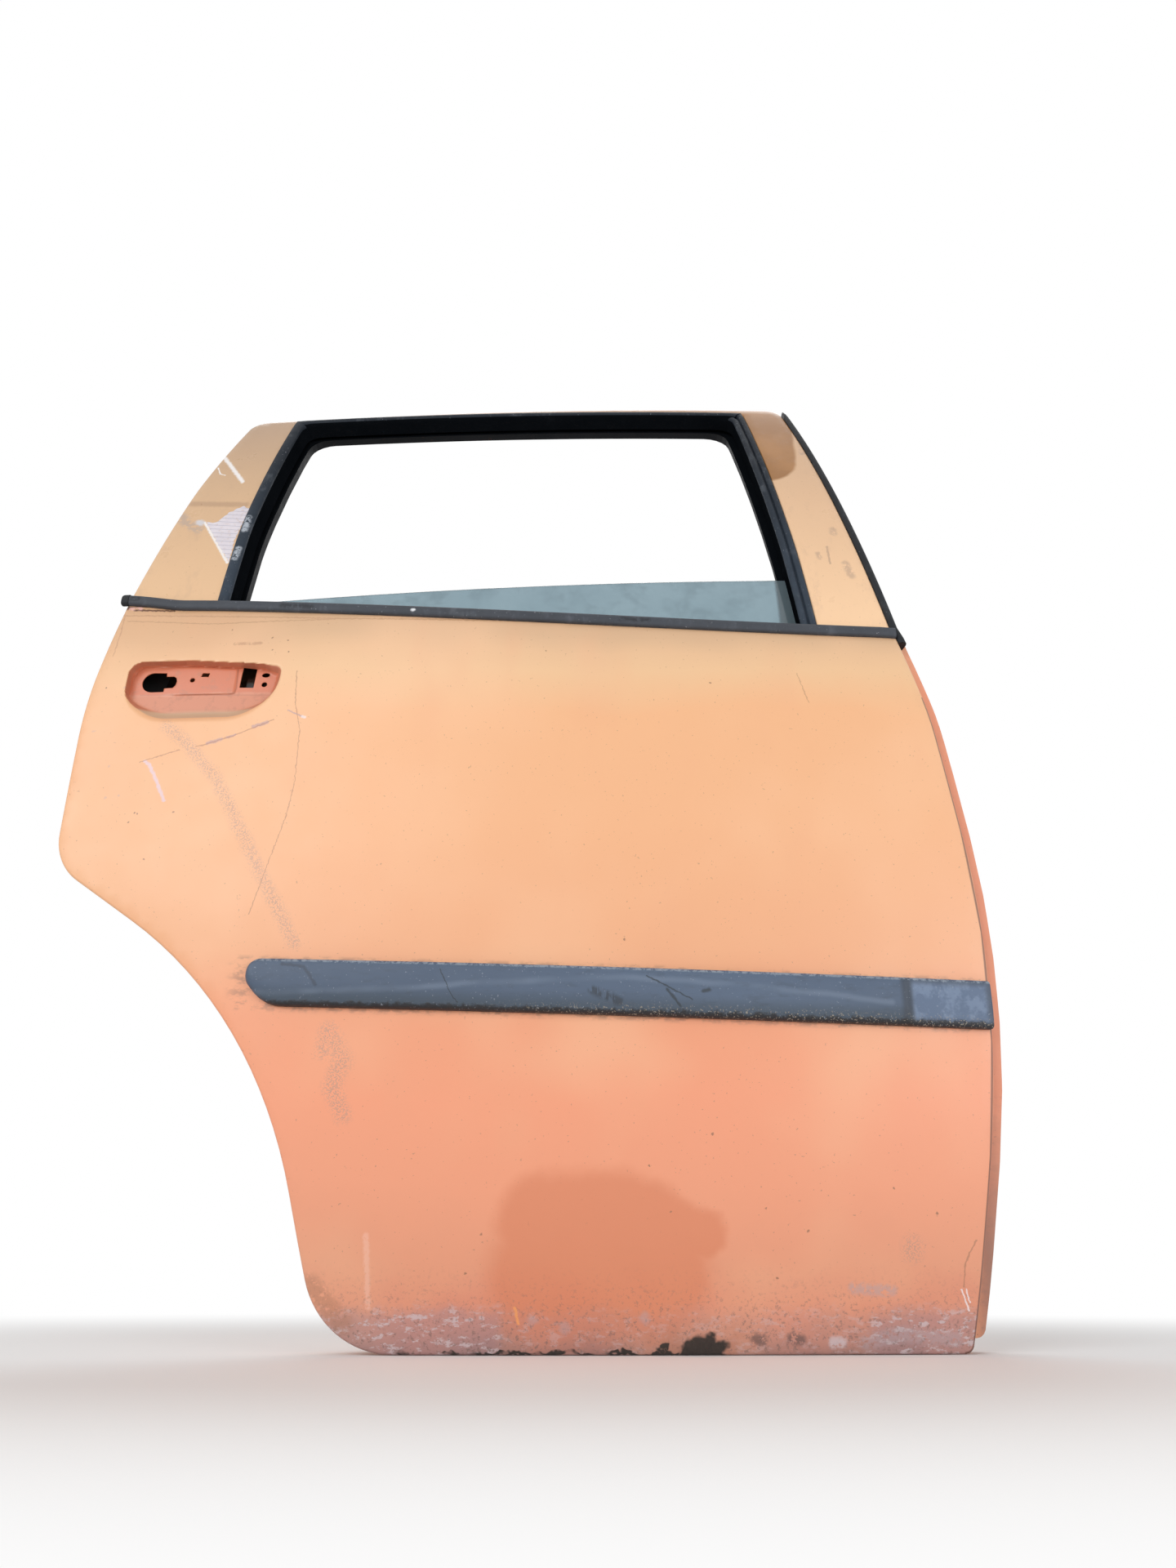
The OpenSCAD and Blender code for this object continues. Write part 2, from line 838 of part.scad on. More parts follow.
module rub_strip() {
  color([0.25, 0.28, 0.33]) {
    intersection() {
      band(-strip_out + 3, 0);
      prism(-far, far) polygon(rounded(STRIP));
    }
    intersection() {
      band(-strip_out, 0);
      prism(-far, far) intersection() {
        polygon(rounded(inset(STRIP, [4, 4, 4, 4])));
        translate([rear_x, strip_z - 130]) square([pad_x - rear_x, 300]);
      }
    }
  }
}
pillar_seal_w = 9;
module front_pillar_seal() {
  color([0.05, 0.05, 0.06]) intersection() {
    band(-3, frame_split - 4);
    prism(-far, far) difference() {
      area(-pillar_seal_w, -2);
      area(0, 0);
      under(nose_top + 1);
      translate([span_rear, span_low]) square([-101 - span_rear, 1400]);
    }
  }
}

// ---- window regulator

rail_y = -20;
rail_t = 12;
module regulator_rail() {
  color([0.55, 0.56, 0.58]) {
    difference() {
      box(drive_x - rail_w / 2, drive_x + rail_w / 2, rail_y, rail_y + rail_t, -262, 62);
      box(drive_x - rail_w / 2 + 2.5, drive_x + rail_w / 2 - 2.5, rail_y + 2.5, rail_y + rail_t + 1,
        -263, 63);
    }
    for (z = [-252, 40]) {
      difference() {
        box(drive_x - rail_w / 2, drive_x + rail_w / 2, rail_y + rail_t - 3,
          face_y - sheet - (z > 0 ? field_d : 0), z, z + 16);
        box(drive_x - rail_w / 2 + 3, drive_x + rail_w / 2 - 3, rail_y + rail_t - 4,
          face_y - sheet - field_d - 3, z - 1, z + 17);
      }
    }
  }
}
module regulator_carrier() {
  z0 = belt_z + glass_up - glass_h;
  color([0.2, 0.2, 0.21]) difference() {
    union() {
      box(drive_x - 45, drive_x + 45, -52, -34, z0 - 12, z0 + 20);
      box(drive_x - 17, drive_x + 17, -35, rail_y, z0 - 12, z0 + 20);
    }
    intersection() {
      glass_band(glass_in, glass_in + glass_t);
      box(drive_x - 60, drive_x + 60, -90, 0, z0, z0 + 60);
    }
  }
}
module regulator_drive() {
  color([0.42, 0.42, 0.44]) {
    translate([drive_x, 6, drive_z]) rotate([-90, 0, 0])
      cylinder(d = 70, h = face_y - field_d - sheet - 6);
    translate([drive_x, 6, drive_z]) rotate([-90, 0, 0])
      cylinder(d = spindle_d, h = face_y + 12);
    box(drive_x - 12, drive_x + 12, rail_y + rail_t, 8, drive_z - 20, drive_z + 20);
  }
}
module plug(i) {
  color([0.08, 0.08, 0.09]) translate([PLUGS[i][0], face_y, PLUGS[i][1]]) rotate([-90, 0, 0]) {
    cylinder(d = plug_d + 6, h = 2);
    translate([0, 0, -5]) cylinder(d = plug_d, h = 6);
  }
}
module plug_front() {
  plug(0);
}
module plug_rear() {
  plug(1);
}
module plug_low() {
  plug(2);
}

outer_skin();
inner_panel();
frame_outer();
frame_inner();
belt_brace_outer();
belt_brace_inner();
upper_hinge_plate();
lower_hinge_plate();
latch_plate();
door_latch();
side_beam();
beam_bracket_front();
beam_bracket_rear();
window_glass();
glass_run_rear();
glass_run_top();
glass_run_front();
guide_channel_rear();
guide_channel_front();
belt_moulding();
moulding_cap();
inner_belt_seal();
rub_strip();
front_pillar_seal();
regulator_rail();
regulator_carrier();
regulator_drive();
plug_front();
plug_rear();
plug_low();
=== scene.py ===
# Looks of the vehicle rear door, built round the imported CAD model. Metres, +X front, -Y outside, +Z up.
import math

import bmesh
import bpy
import numpy as np
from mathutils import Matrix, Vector
from mathutils.geometry import delaunay_2d_cdt


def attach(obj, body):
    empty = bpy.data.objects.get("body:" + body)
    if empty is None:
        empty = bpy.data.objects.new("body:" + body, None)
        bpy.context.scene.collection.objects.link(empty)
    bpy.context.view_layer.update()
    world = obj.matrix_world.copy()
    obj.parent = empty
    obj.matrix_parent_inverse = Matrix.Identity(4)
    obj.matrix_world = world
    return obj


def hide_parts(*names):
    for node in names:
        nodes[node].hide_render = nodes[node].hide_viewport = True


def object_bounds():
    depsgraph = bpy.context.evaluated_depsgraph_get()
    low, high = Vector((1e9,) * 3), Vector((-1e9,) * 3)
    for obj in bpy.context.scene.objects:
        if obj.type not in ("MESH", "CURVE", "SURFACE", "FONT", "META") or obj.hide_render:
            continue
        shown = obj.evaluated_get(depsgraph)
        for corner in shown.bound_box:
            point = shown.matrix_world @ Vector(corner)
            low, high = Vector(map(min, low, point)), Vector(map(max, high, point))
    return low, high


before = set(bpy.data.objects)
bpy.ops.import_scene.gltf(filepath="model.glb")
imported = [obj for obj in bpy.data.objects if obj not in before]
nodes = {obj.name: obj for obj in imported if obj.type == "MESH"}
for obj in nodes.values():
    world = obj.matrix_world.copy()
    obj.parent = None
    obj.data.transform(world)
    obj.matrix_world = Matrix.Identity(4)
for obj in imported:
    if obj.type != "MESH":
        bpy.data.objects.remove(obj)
cad_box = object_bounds()
scene = bpy.context.scene

MM = 0.001

# ---------------------------------------------------------------- door surface, millimetres

TILT = math.radians(1.5)
CROWN_R = 5600.0
CROWN_X = -435.0
SECTION_LOW = -620.0
SECTION_Y = -7.9
# radius, first and last lean of each arc of the vertical section, bottom to top
ARCS = ((500, -24.5, -9), (1500, -9, -3), (2800, -3, 5), (760, 5, 11), (1350, 11, 34.5))
SHEET = 1.5


def arc_table():
    rows, z, y = [], SECTION_LOW, SECTION_Y
    for r, a0, a1 in ARCS:
        a0, a1 = math.radians(a0), math.radians(a1)
        rows.append((r, a0, a1, z, y))
        z += r * (math.sin(a1) - math.sin(a0))
        y -= r * (math.cos(a1) - math.cos(a0))
    return rows


ARC_TABLE = arc_table()
GLASS_ARC = ARC_TABLE[-1:]


def section(z, depth, arcs):
    """y of the vertical section at height z, moved inward by depth."""
    for r, a0, a1, z0, y0 in arcs:
        top = z0 + r * (math.sin(a1) - math.sin(a0)) - depth * math.sin(a1)
        if z <= top or r == arcs[-1][0]:
            s = (z - z0 + r * math.sin(a0)) / (r - depth)
            a = math.asin(max(-1.0, min(1.0, s)))
            return y0 - r * (math.cos(a) - math.cos(a0)) + depth * math.cos(a)


def surface(x, z, depth, arcs=ARC_TABLE):
    """Point (metres) over x, z on the layer that lies depth behind the outer surface."""
    dx = x - CROWN_X
    across = dx * math.cos(TILT) - z * math.sin(TILT)
    up = dx * math.sin(TILT) + z * math.cos(TILT)
    r = CROWN_R - section(up, depth, arcs)
    return Vector((x * MM, (CROWN_R - math.sqrt(r * r - across * across)) * MM, z * MM))


# ---------------------------------------------------------------- outlines, millimetres


def unit(v):
    return v / np.linalg.norm(v)


def inset(corners, d):
    """Corners (x, z, r) with edge i moved inward by d[i]; the outline runs anticlockwise."""
    out, n = [], len(corners)
    for i in range(n):
        p = np.array(corners[i][:2], float)
        e = unit(p - np.array(corners[i - 1][:2]))
        f = unit(np.array(corners[(i + 1) % n][:2]) - p)
        n1, n2 = np.array((-e[1], e[0])), np.array((-f[1], f[0]))
        d1, d2 = d[i - 1], d[i]
        turn = e[0] * f[1] - e[1] * f[0]
        if abs(turn) < 1e-9:
            q = p + n1 * d1
        else:
            q = p + np.array((d1 * n2[1] - d2 * n1[1], n1[0] * d2 - n2[0] * d1)) / turn
        r, m = corners[i][2], (d1 + d2) / 2
        out.append((q[0], q[1], 0 if r == 0 else max(0.01, r - m if turn > 0 else r + m)))
    return out


def rounded(corners, steps=12):
    """Outline points, and for each point the corner that it belongs to."""
    pts, owner, n = [], [], len(corners)
    for i in range(n):
        p, r = np.array(corners[i][:2], float), corners[i][2]
        if r == 0:
            pts.append(p)
            owner.append(i)
            continue
        u = unit(np.array(corners[i - 1][:2]) - p)
        v = unit(np.array(corners[(i + 1) % n][:2]) - p)
        half = math.acos(max(-1, min(1, float(u @ v)))) / 2
        c = p + unit(u + v) * (r / math.sin(half))
        s, e = p + u * r / math.tan(half) - c, p + v * r / math.tan(half) - c
        a0 = math.atan2(s[1], s[0])
        w = (math.atan2(e[1], e[0]) - a0 + math.pi) % (2 * math.pi) - math.pi
        for k in range(steps + 1):
            a = a0 + w * k / steps
            pts.append(c + r * np.array((math.cos(a), math.sin(a))))
            owner.append(i)
    return pts, owner


REAR = -897.0
SILL = -582.0
ROOF = 569.0
BELT_Z, BELT_FALL = 150.5, 0.0459
STRIP_FALL = 0.027
DOOR = [(-24, SILL, 8), (30, -262, 1100), (-4, 25, 400), (-27.8, 124, 0), (-33, 137, 0), (-106.5, ROOF, 22),
        (REAR + 297, ROOF - 35, 0), (REAR + 92.5, ROOF - 48, 26), (REAR + 56, 365, 900),
        (REAR + 19, 170, 0), (REAR - 1, 40, 500), (REAR, -139, 60), (REAR + 223.5, -291, 430),
        (REAR + 297, SILL, 80)]
WIN_REAR = REAR + 152
WINDOW = [(-107, 60, 0), (-125, 258, 900), (-157, ROOF - 20, 4), (WIN_REAR, ROOF - 52.5, 4),
          (WIN_REAR - 22, 290, 700), (WIN_REAR - 30, 60, 0)]


def belt(x):
    """Middle of the belt moulding; it sags between its ends."""
    t = min(1.0, max(0.0, (x + 771) / 728))
    return BELT_Z - BELT_FALL * (x + 454) - 8.4 * t * (1 - t) * (1 + 3.1 * t)


def strip_mid(x):
    """Middle of the rub strip."""
    return -271.5 - STRIP_FALL * (x + 334)


def window(front, top, rear, corner=4.0):
    """The window's corners moved inward by front, top and rear."""
    ring = inset(WINDOW, [front, front, top, rear, rear, 0])
    return [(x, z, corner if i in (2, 3) else r) for i, (x, z, r) in enumerate(ring)]


def dense(pts, step):
    """The closed outline with points at most step apart."""
    out = []
    for p, q in zip(pts, pts[1:] + pts[:1]):
        n = max(1, math.ceil(np.linalg.norm(q - p) / step))
        out += [p + (q - p) * k / n for k in range(n)]
    return out


def offset(pts, d):
    """Closed anticlockwise outline moved inward by a small d."""
    if d == 0:
        return [p.copy() for p in pts]
    out = []
    for before, p, after in zip(pts[-1:] + pts[:-1], pts, pts[1:] + pts[:1]):
        e, f = unit(p - before), unit(after - p)
        n1, n2 = np.array((-e[1], e[0])), np.array((-f[1], f[0]))
        out.append(p + (n1 + n2) * d / (1 + float(n1 @ n2)))
    return out


def cut_by_belt(pts, above):
    """The run of a closed outline above or below the belt line, from crossing to crossing."""
    side = [p[1] - belt(p[0]) for p in pts]
    keep = [(s > 0) == above for s in side]
    n = len(pts)
    i = next(i for i in range(n) if keep[i] and not keep[i - 1])

    def crossing(i, j):
        t = side[i] / (side[i] - side[j])
        return pts[i] + (pts[j] - pts[i]) * t

    out = [crossing(i - 1, i)]
    while keep[i % n]:
        out.append(pts[i % n])
        i += 1
    out.append(crossing((i - 1) % n, i % n))
    return out


# ---------------------------------------------------------------- mesh helpers

ROW = 0.866  # height of a row of an equilateral grid
KEEP_OFF = 0.45  # share of the step that grid points keep from an outline
MERGE = 1e-6  # metres


def finish_mesh(name, verts, faces, material, slot, replaces=(), sharp=38, zones=()):
    """Object from points and faces. Each zone is another material and the numbers of its faces."""
    me = bpy.data.meshes.new(name)
    me.from_pydata([tuple(v) for v in verts], [], faces)
    me.materials.append(material)
    for index, (other, marked) in enumerate(zones, 1):
        me.materials.append(other)
        for i in marked:
            me.polygons[i].material_index = index
    bm = bmesh.new()
    bm.from_mesh(me)
    bmesh.ops.remove_doubles(bm, verts=bm.verts, dist=MERGE)
    bmesh.ops.dissolve_degenerate(bm, edges=bm.edges, dist=MERGE)
    bmesh.ops.recalc_face_normals(bm, faces=bm.faces)
    for f in bm.faces:
        f.smooth = True
    for e in bm.edges:
        if len(e.link_faces) == 2 and e.calc_face_angle(0) > math.radians(sharp):
            e.smooth = False
    bm.to_mesh(me)
    bm.free()
    obj = bpy.data.objects.new(name, me)
    scene.collection.objects.link(obj)
    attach(obj, "root")
    if replaces:
        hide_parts(*replaces)
    return obj


def inside(pts, loop):
    """Which of the points lie in the outline."""
    res = np.zeros(len(pts), bool)
    x, z = pts[:, 0], pts[:, 1]
    for i in range(len(loop)):
        (x0, z0), (x1, z1) = loop[i - 1], loop[i]
        if z0 == z1:
            continue
        hit = (z > min(z0, z1)) & (z <= max(z0, z1))
        res ^= hit & (x < x0 + (z - z0) * (x1 - x0) / (z1 - z0))
    return res


def clearance(pts, loop):
    """Distance of each point from the outline."""
    best = np.full(len(pts), 1e9)
    for i in range(len(loop)):
        a, b = loop[i - 1], loop[i]
        ab = b - a
        t = np.clip(((pts - a) @ ab) / max(1e-12, ab @ ab), 0, 1)
        best = np.minimum(best, np.linalg.norm(pts - a - t[:, None] * ab, axis=1))
    return best


def hex_grid(loop, step):
    """Points step apart in staggered rows, over the box round the outline."""
    lo, hi = np.min(loop, 0), np.max(loop, 0)
    rows = []
    for j in range(int((hi[1] - lo[1]) / (step * ROW)) + 1):
        x = np.arange(lo[0] + (step / 2 if j % 2 else 0), hi[0], step)
        rows.append(np.stack([x, np.full_like(x, lo[1] + j * step * ROW)], 1))
    return np.concatenate(rows)


def triangulate(outer, holes, step, fine=None):
    """Points and triangles of the area, the outline points first. fine = (outline, step) of a denser patch."""
    loops = [outer] + holes
    pts = hex_grid(outer, step)
    if fine:
        patch = np.array(fine[0])
        pts = pts[~inside(pts, patch)]
        extra = hex_grid(patch, fine[1])
        pts = np.concatenate([pts, extra[inside(extra, patch)]])
    pts = pts[inside(pts, outer)]
    near = np.full(len(pts), step * KEEP_OFF)
    if fine:
        near[inside(pts, patch)] = fine[1] * KEEP_OFF
    for loop in loops:
        clear = clearance(pts, loop) > near
        pts, near = pts[clear], near[clear]
    for h in holes:
        pts = pts[~inside(pts, h)]
    verts, edges, spans = [], [], []
    for loop in loops:
        base = len(verts)
        verts += [tuple(p) for p in loop]
        edges += [(base + i, base + (i + 1) % len(loop)) for i in range(len(loop))]
        spans.append((base, len(loop)))
    verts += [tuple(p) for p in pts]
    v, _, tris, _, _, _ = delaunay_2d_cdt([Vector(p) for p in verts], edges, [], 1, 1e-5)
    v = np.array([tuple(p) for p in v])
    tris = np.array([t[:3] for t in tris])
    mid = v[tris].mean(axis=1)
    ok = inside(mid, outer)
    for h in holes:
        ok &= ~inside(mid, h)
    return v, tris[ok].tolist(), spans


def flat(pts):
    return np.zeros(len(pts))


def plate(outer, holes, step, front, back, rim, hole_rim, fine=None):
    """Closed sheet. front(points) gives the depth of its face, back what lies behind that.
    rim and hole_rim are (inset, depth behind the face) rings that lead round the edge,
    the first on the face and the last on the back."""
    start = offset(outer, rim[0][0])
    hole_start = [offset(h, -hole_rim[0][0]) for h in holes]
    v, tris, spans = triangulate(start, hole_start, step, fine)
    n = len(v)
    depth = front(v)
    verts = [surface(x, z, d) for (x, z), d in zip(v, depth)]
    verts += [surface(x, z, d + back) for (x, z), d in zip(v, depth)]
    faces = [tuple(t) for t in tris] + [(n + a, n + c, n + b) for a, b, c in tris]
    for loop, rings, sign, (base, count) in zip(
            [outer] + holes, [rim] + [hole_rim] * len(holes), [1] + [-1] * len(holes), spans):
        prev = list(range(base, base + count))
        for w, d in rings[1:-1]:
            ring = offset(loop, w * sign)
            ids = list(range(len(verts), len(verts) + count))
            verts += [surface(x, z, f + d) for (x, z), f in zip(ring, front(np.array(ring)))]
            faces += band(prev, ids)
            prev = ids
        faces += band(prev, list(range(n + base, n + base + count)))
    return verts, faces


def band(lower, upper):
    """Quads between two rings of point numbers."""
    return [(a, b, d, c) for a, b, c, d in zip(lower, lower[1:] + lower[:1], upper, upper[1:] + upper[:1])]


def ribbon(rings):
    """Skin over a row of rings of points, its two ends capped."""
    m = len(rings[0])
    ids = [list(range(i * m, i * m + m)) for i in range(len(rings))]
    faces = [face for lower, upper in zip(ids, ids[1:]) for face in band(lower, upper)]
    return [p for ring in rings for p in ring], faces + [tuple(ids[0]), tuple(ids[-1])]


def join(*parts):
    """One list of points and one of faces for several pieces."""
    verts, faces = [], []
    for v, f in parts:
        base = len(verts)
        verts += list(v)
        faces += [tuple(base + i for i in t) for t in f]
    return verts, faces


def resample(pts, n):
    """n + 1 points evenly spaced along an open line."""
    pts = np.array(pts)
    run = np.concatenate([[0], np.cumsum(np.linalg.norm(np.diff(pts, axis=0), axis=1))])
    at = np.linspace(0, run[-1], n + 1)
    return np.stack([np.interp(at, run, pts[:, 0]), np.interp(at, run, pts[:, 1])], 1)


def ease(t):
    """0 at t = 0, 1 at t = 1, smooth between and flat beyond."""
    t = np.clip(t, 0.0, 1.0)
    return t * t * (3 - 2 * t)


# ---------------------------------------------------------------- material helpers


class Graph:
    """Short hand for a material's node tree. Arguments may be numbers, colours or sockets."""

    def __init__(self, name, dark=None, light=None, *clouds):
        """The colour starts as noise between dark and light; clouds are the arguments of noise()."""
        self.mat = bpy.data.materials.new(name)
        self.mat.use_nodes = True
        self.tree = self.mat.node_tree
        self.tree.nodes.clear()
        self.out = self.tree.nodes.new("ShaderNodeOutputMaterial")
        self.pos = self.tree.nodes.new("ShaderNodeTexCoord").outputs["Object"]
        self.x, self.y, self.z = self.node("ShaderNodeSeparateXYZ", self.pos).outputs
        if clouds:
            self.colour = self.mix(self.noise(*clouds), dark, light)

    def feed(self, socket, value):
        if isinstance(value, bpy.types.NodeSocket):
            self.tree.links.new(value, socket)
        elif socket.type == "RGBA" and len(value) == 3:
            socket.default_value = (*value, 1)
        else:
            socket.default_value = value

    def node(self, kind, *values, **settings):
        """A node with its settings made and its first inputs fed."""
        node = self.tree.nodes.new(kind)
        for key, value in settings.items():
            setattr(node, key, value)
        for socket, value in zip(node.inputs, values):
            self.feed(socket, value)
        return node

    def math(self, op, a, b=0.0, c=0.0):
        return self.node("ShaderNodeMath", a, b, c, operation=op).outputs[0]

    def mul(self, total, *values):
        for value in values:
            total = self.math("MULTIPLY", total, value)
        return total

    def most(self, total, *values):
        for value in values:
            total = self.math("MAXIMUM", total, value)
        return total

    def scale(self, value, gain, base=0.0):
        return self.math("MULTIPLY_ADD", value, gain, base)

    def vector(self, op, a, b):
        return self.node("ShaderNodeVectorMath", a, b, operation=op).outputs[0]

    def measure(self, op, *values):
        return self.node("ShaderNodeVectorMath", *values, operation=op).outputs["Value"]

    def step(self, value, lo, hi):
        """0 at lo, 1 at hi, smooth between; lo may be above hi."""
        ends = (min(lo, hi), max(lo, hi), float(lo > hi), float(lo < hi))
        return self.node("ShaderNodeMapRange", value, *ends, interpolation_type="SMOOTHSTEP").outputs["Result"]

    def noise(self, scale, detail=4.0, rough=0.55, stretch=None, colour=False):
        node = self.node("ShaderNodeTexNoise")
        place = self.vector("MULTIPLY", self.pos, stretch) if stretch else self.pos
        for key, value in (("Vector", place), ("Scale", scale), ("Detail", detail), ("Roughness", rough)):
            self.feed(node.inputs[key], value)
        return node.outputs["Color" if colour else "Fac"]

    def spots(self, lo, hi, *noise):
        """Where the noise is above lo, fully from hi on."""
        return self.step(self.noise(*noise), lo, hi)

    def wavy(self, value, amount, *noise):
        """The value moved by noise, up to half the amount either way."""
        return self.math("ADD", value, self.scale(self.noise(*noise), amount, -amount / 2))

    def shifted(self, amount, scale):
        """The place pushed about by noise, for ragged edges; amount in millimetres."""
        push = self.vector("SUBTRACT", self.noise(scale, 2, colour=True), (0.5,) * 3)
        return self.vector("ADD", self.pos, self.vector("MULTIPLY", push, (2 * amount * MM,) * 3))

    def mix(self, fac, a, b):
        node = self.node("ShaderNodeMix", data_type="RGBA")
        for socket, value in zip((0, 6, 7), (fac, a, b)):
            self.feed(node.inputs[socket], value)
        return node.outputs[2]

    def lay(self, tone, mask, amount=1.0):
        """A tone laid over the colour where the mask is 1."""
        self.colour = self.mix(mask if amount == 1 else self.scale(mask, amount), self.colour, tone)

    def ramp(self, value, stops):
        """Colours at rising values."""
        lo, hi = stops[0][0], stops[-1][0]
        node = self.node("ShaderNodeValToRGB", self.scale(value, 1 / (hi - lo), -lo / (hi - lo)))
        elements = node.color_ramp.elements
        while len(elements) < len(stops):
            elements.new(0.5)
        for i, (at, _) in enumerate(stops):
            elements[i].position = (at - lo) / (hi - lo)
        for element, (_, tone) in zip(elements, stops):
            element.color = (*tone, 1)
        return node.outputs["Color"]

    def bump(self, height, strength, distance, normal=None):
        node = self.node("ShaderNodeBump")
        for key, value in (("Strength", strength), ("Distance", distance), ("Height", height)):
            self.feed(node.inputs[key], value)
        if normal:
            self.feed(node.inputs["Normal"], normal)
        return node.outputs["Normal"]

    def within(self, distances, width, soft):
        """1 where the smallest of the distances is under half the width."""
        nearest = next(distances)
        for gap in distances:
            nearest = self.math("MINIMUM", nearest, gap)
        half = width * MM / 2
        return self.step(nearest, half * (1 + soft), half * (1 - soft))

    def stroke(self, line, vec=None, soft=0.6):
        """1 on a line (width, x, z, x, z ...), in millimetres."""
        points = pairs(line[1:])
        gaps = (self.node("ShaderNodeGroup", vec or self.pos, (ax, 0, az), (bx - ax, 0, bz - az),
                          1 / max(1e-9, (bx - ax) ** 2 + (bz - az) ** 2), node_tree=segment_group()).outputs[0]
                for (ax, az), (bx, bz) in zip(points, points[1:]))
        return self.within(gaps, line[0], soft)

    def strokes(self, lines, vec=None, soft=0.6):
        """1 on any of the lines. They are made one by one, so that few values wait for each other."""
        mask = self.stroke(lines[0], vec, soft)
        for line in lines[1:]:
            mask = self.most(mask, self.stroke(line, vec, soft))
        return mask

    def dots(self, places, width, vec=None, soft=0.5):
        """1 on round spots at the places (x, z, x, z ...), in millimetres."""
        upright = self.vector("MULTIPLY", vec or self.pos, (1, 0, 1))
        gaps = (self.measure("DISTANCE", upright, (x, 0, z)) for x, z in pairs(places))
        return self.within(gaps, width, soft)

    def marks(self, groups, vec, breaks):
        """Marks over the colour: groups of (tone, amount, broken up or not, lines ...)."""
        for tone, amount, broken, *lines in groups:
            mask = self.scale(self.strokes(lines, vec), amount)
            self.lay(tone, self.mul(mask, breaks) if broken else mask)

    def principled(self, **inputs):
        node = self.node("ShaderNodeBsdfPrincipled", self.colour)
        for key, value in inputs.items():
            self.feed(node.inputs[key.replace("_", " ")], value)
        self.tree.links.new(node.outputs[0], self.out.inputs["Surface"])
        return self.mat


def pairs(flat_list):
    """Points in metres from x, z, x, z ... in millimetres."""
    metres = [v * MM for v in flat_list]
    return list(zip(metres[::2], metres[1::2]))


def segment_group():
    """Distance over x and z from the line A to A + AB; Inverse is 1 over its squared length."""
    tree = bpy.data.node_groups.get("segment")
    if tree:
        return tree
    tree = bpy.data.node_groups.new("segment", "ShaderNodeTree")
    for name in ("Vector", "A", "AB"):
        tree.interface.new_socket(name, in_out="INPUT", socket_type="NodeSocketVector")
    tree.interface.new_socket("Inverse", in_out="INPUT", socket_type="NodeSocketFloat")
    tree.interface.new_socket("Distance", in_out="OUTPUT", socket_type="NodeSocketFloat")
    new, link = tree.nodes.new, tree.links.new
    given, result = new("NodeGroupInput"), new("NodeGroupOutput")

    def vec(op, *inputs):
        node = new("ShaderNodeVectorMath")
        node.operation = op
        for source, socket in zip(inputs, node.inputs):
            link(source, socket)
        return node

    upright = vec("MULTIPLY", given.outputs["Vector"])
    upright.inputs[1].default_value = (1, 0, 1)
    from_a = vec("SUBTRACT", upright.outputs[0], given.outputs["A"])
    dot = vec("DOT_PRODUCT", from_a.outputs[0], given.outputs["AB"])
    share = new("ShaderNodeMath")
    share.operation, share.use_clamp = "MULTIPLY", True
    link(dot.outputs["Value"], share.inputs[0])
    link(given.outputs["Inverse"], share.inputs[1])
    along = vec("SCALE", given.outputs["AB"])
    link(share.outputs[0], along.inputs["Scale"])
    gap = vec("SUBTRACT", from_a.outputs[0], along.outputs[0])
    link(vec("LENGTH", gap.outputs[0]).outputs["Value"], result.inputs[0])
    return tree


# ---------------------------------------------------------------- marks on the door
# A line is (width, x, z, x, z ...) in millimetres. A group is (tone, amount, broken up or not, lines ...).

LILAC, WHITE, MAUVE = (0.74, 0.54, 0.58), (0.88, 0.76, 0.76), (0.50, 0.31, 0.29)
BROWN, GREY, FLECK = (0.42, 0.20, 0.12), (0.44, 0.36, 0.38), (0.62, 0.53, 0.55)

# painted shade lines along two folds of the skin under the moulding
CREASE_SHADE_LINES = ((0.50, 0.28, 0.155), 0.7, False, (1.5, -880, 156, -641, 144, -383, 137, -205, 134),
           (1.3, -872, 148, -776, 140, -701, 142, -641, 143))
UPPER_MARKS = [CREASE_SHADE_LINES, (BROWN, 0.55, False, (0.9, -143, 74, -133, 38))]
REAR_MARKS = [
    CREASE_SHADE_LINES,
    (LILAC, 0.9, False, (3.2, -821, -29, -815, -34, -804, -54, -794, -74)),
    (MAUVE, 0.85, False, (3.6, -758, -10, -744, -6), (2.4, -738, -4, -730, -1), (3.8, -712, 8, -698, 13),
     (1.8, -678, 27, -660, 18)),
    (WHITE, 0.7, False, (2.6, -662, 19, -659, 18)),
    (BROWN, 0.45, False, (1.2, -877, 158, -876.5, 130, -878.5, 100)),
    (BROWN, 0.7, False, (1.3, -769, -14, -734, -3, -711, 7, -692, 16), (1.1, -786, -17, -826, -30),
     (0.9, -674, 75, -671, 34, -663, 4, -662, -58, -667, -94, -693, -195)),
    (BROWN, 0.5, True, (3.4, -746, 112, -718, 112)),
    # painted shadow under the lifted rear end of the moulding, with dirt in it
    ((0.10, 0.04, 0.025), 0.9, False, (6, -886, 166, -874, 168), (2.2, -868, 163.6, -822, 160.2),
     (2.5, -880, 170, -850, 168)),
    ((0.86, 0.50, 0.44), 0.9, True, (5, -872, 166.2, -861, 166)),
]
LOWER_MARKS = [
    (WHITE, 0.9, False, (1.5, -33, -530, -27, -547), (1.1, -29, -529, -26, -540)),
    (BROWN, 0.7, False, (1.4, -17, -489, -28, -506, -31, -527)),
    (BROWN, 0.5, True, (18, -610, -526, -581, -556)),
    ((0.86, 0.36, 0.13), 0.9, False, (2.4, -429, -544, -426, -556)),
    ((0.92, 0.58, 0.46), 0.4, True, (5, -562, -485, -558, -543)),
    (GREY, 0.5, True, (9, -130, -528, -96, -530), (12, -120, -572, -90, -566, -40, -570)),
    (FLECK, 0.8, True, (9, -149, -572, -142, -572)),
    ((0.16, 0.10, 0.09), 0.85, True, (9, -218, -569, -212, -570), (9, -186, -569, -178, -570)),
]
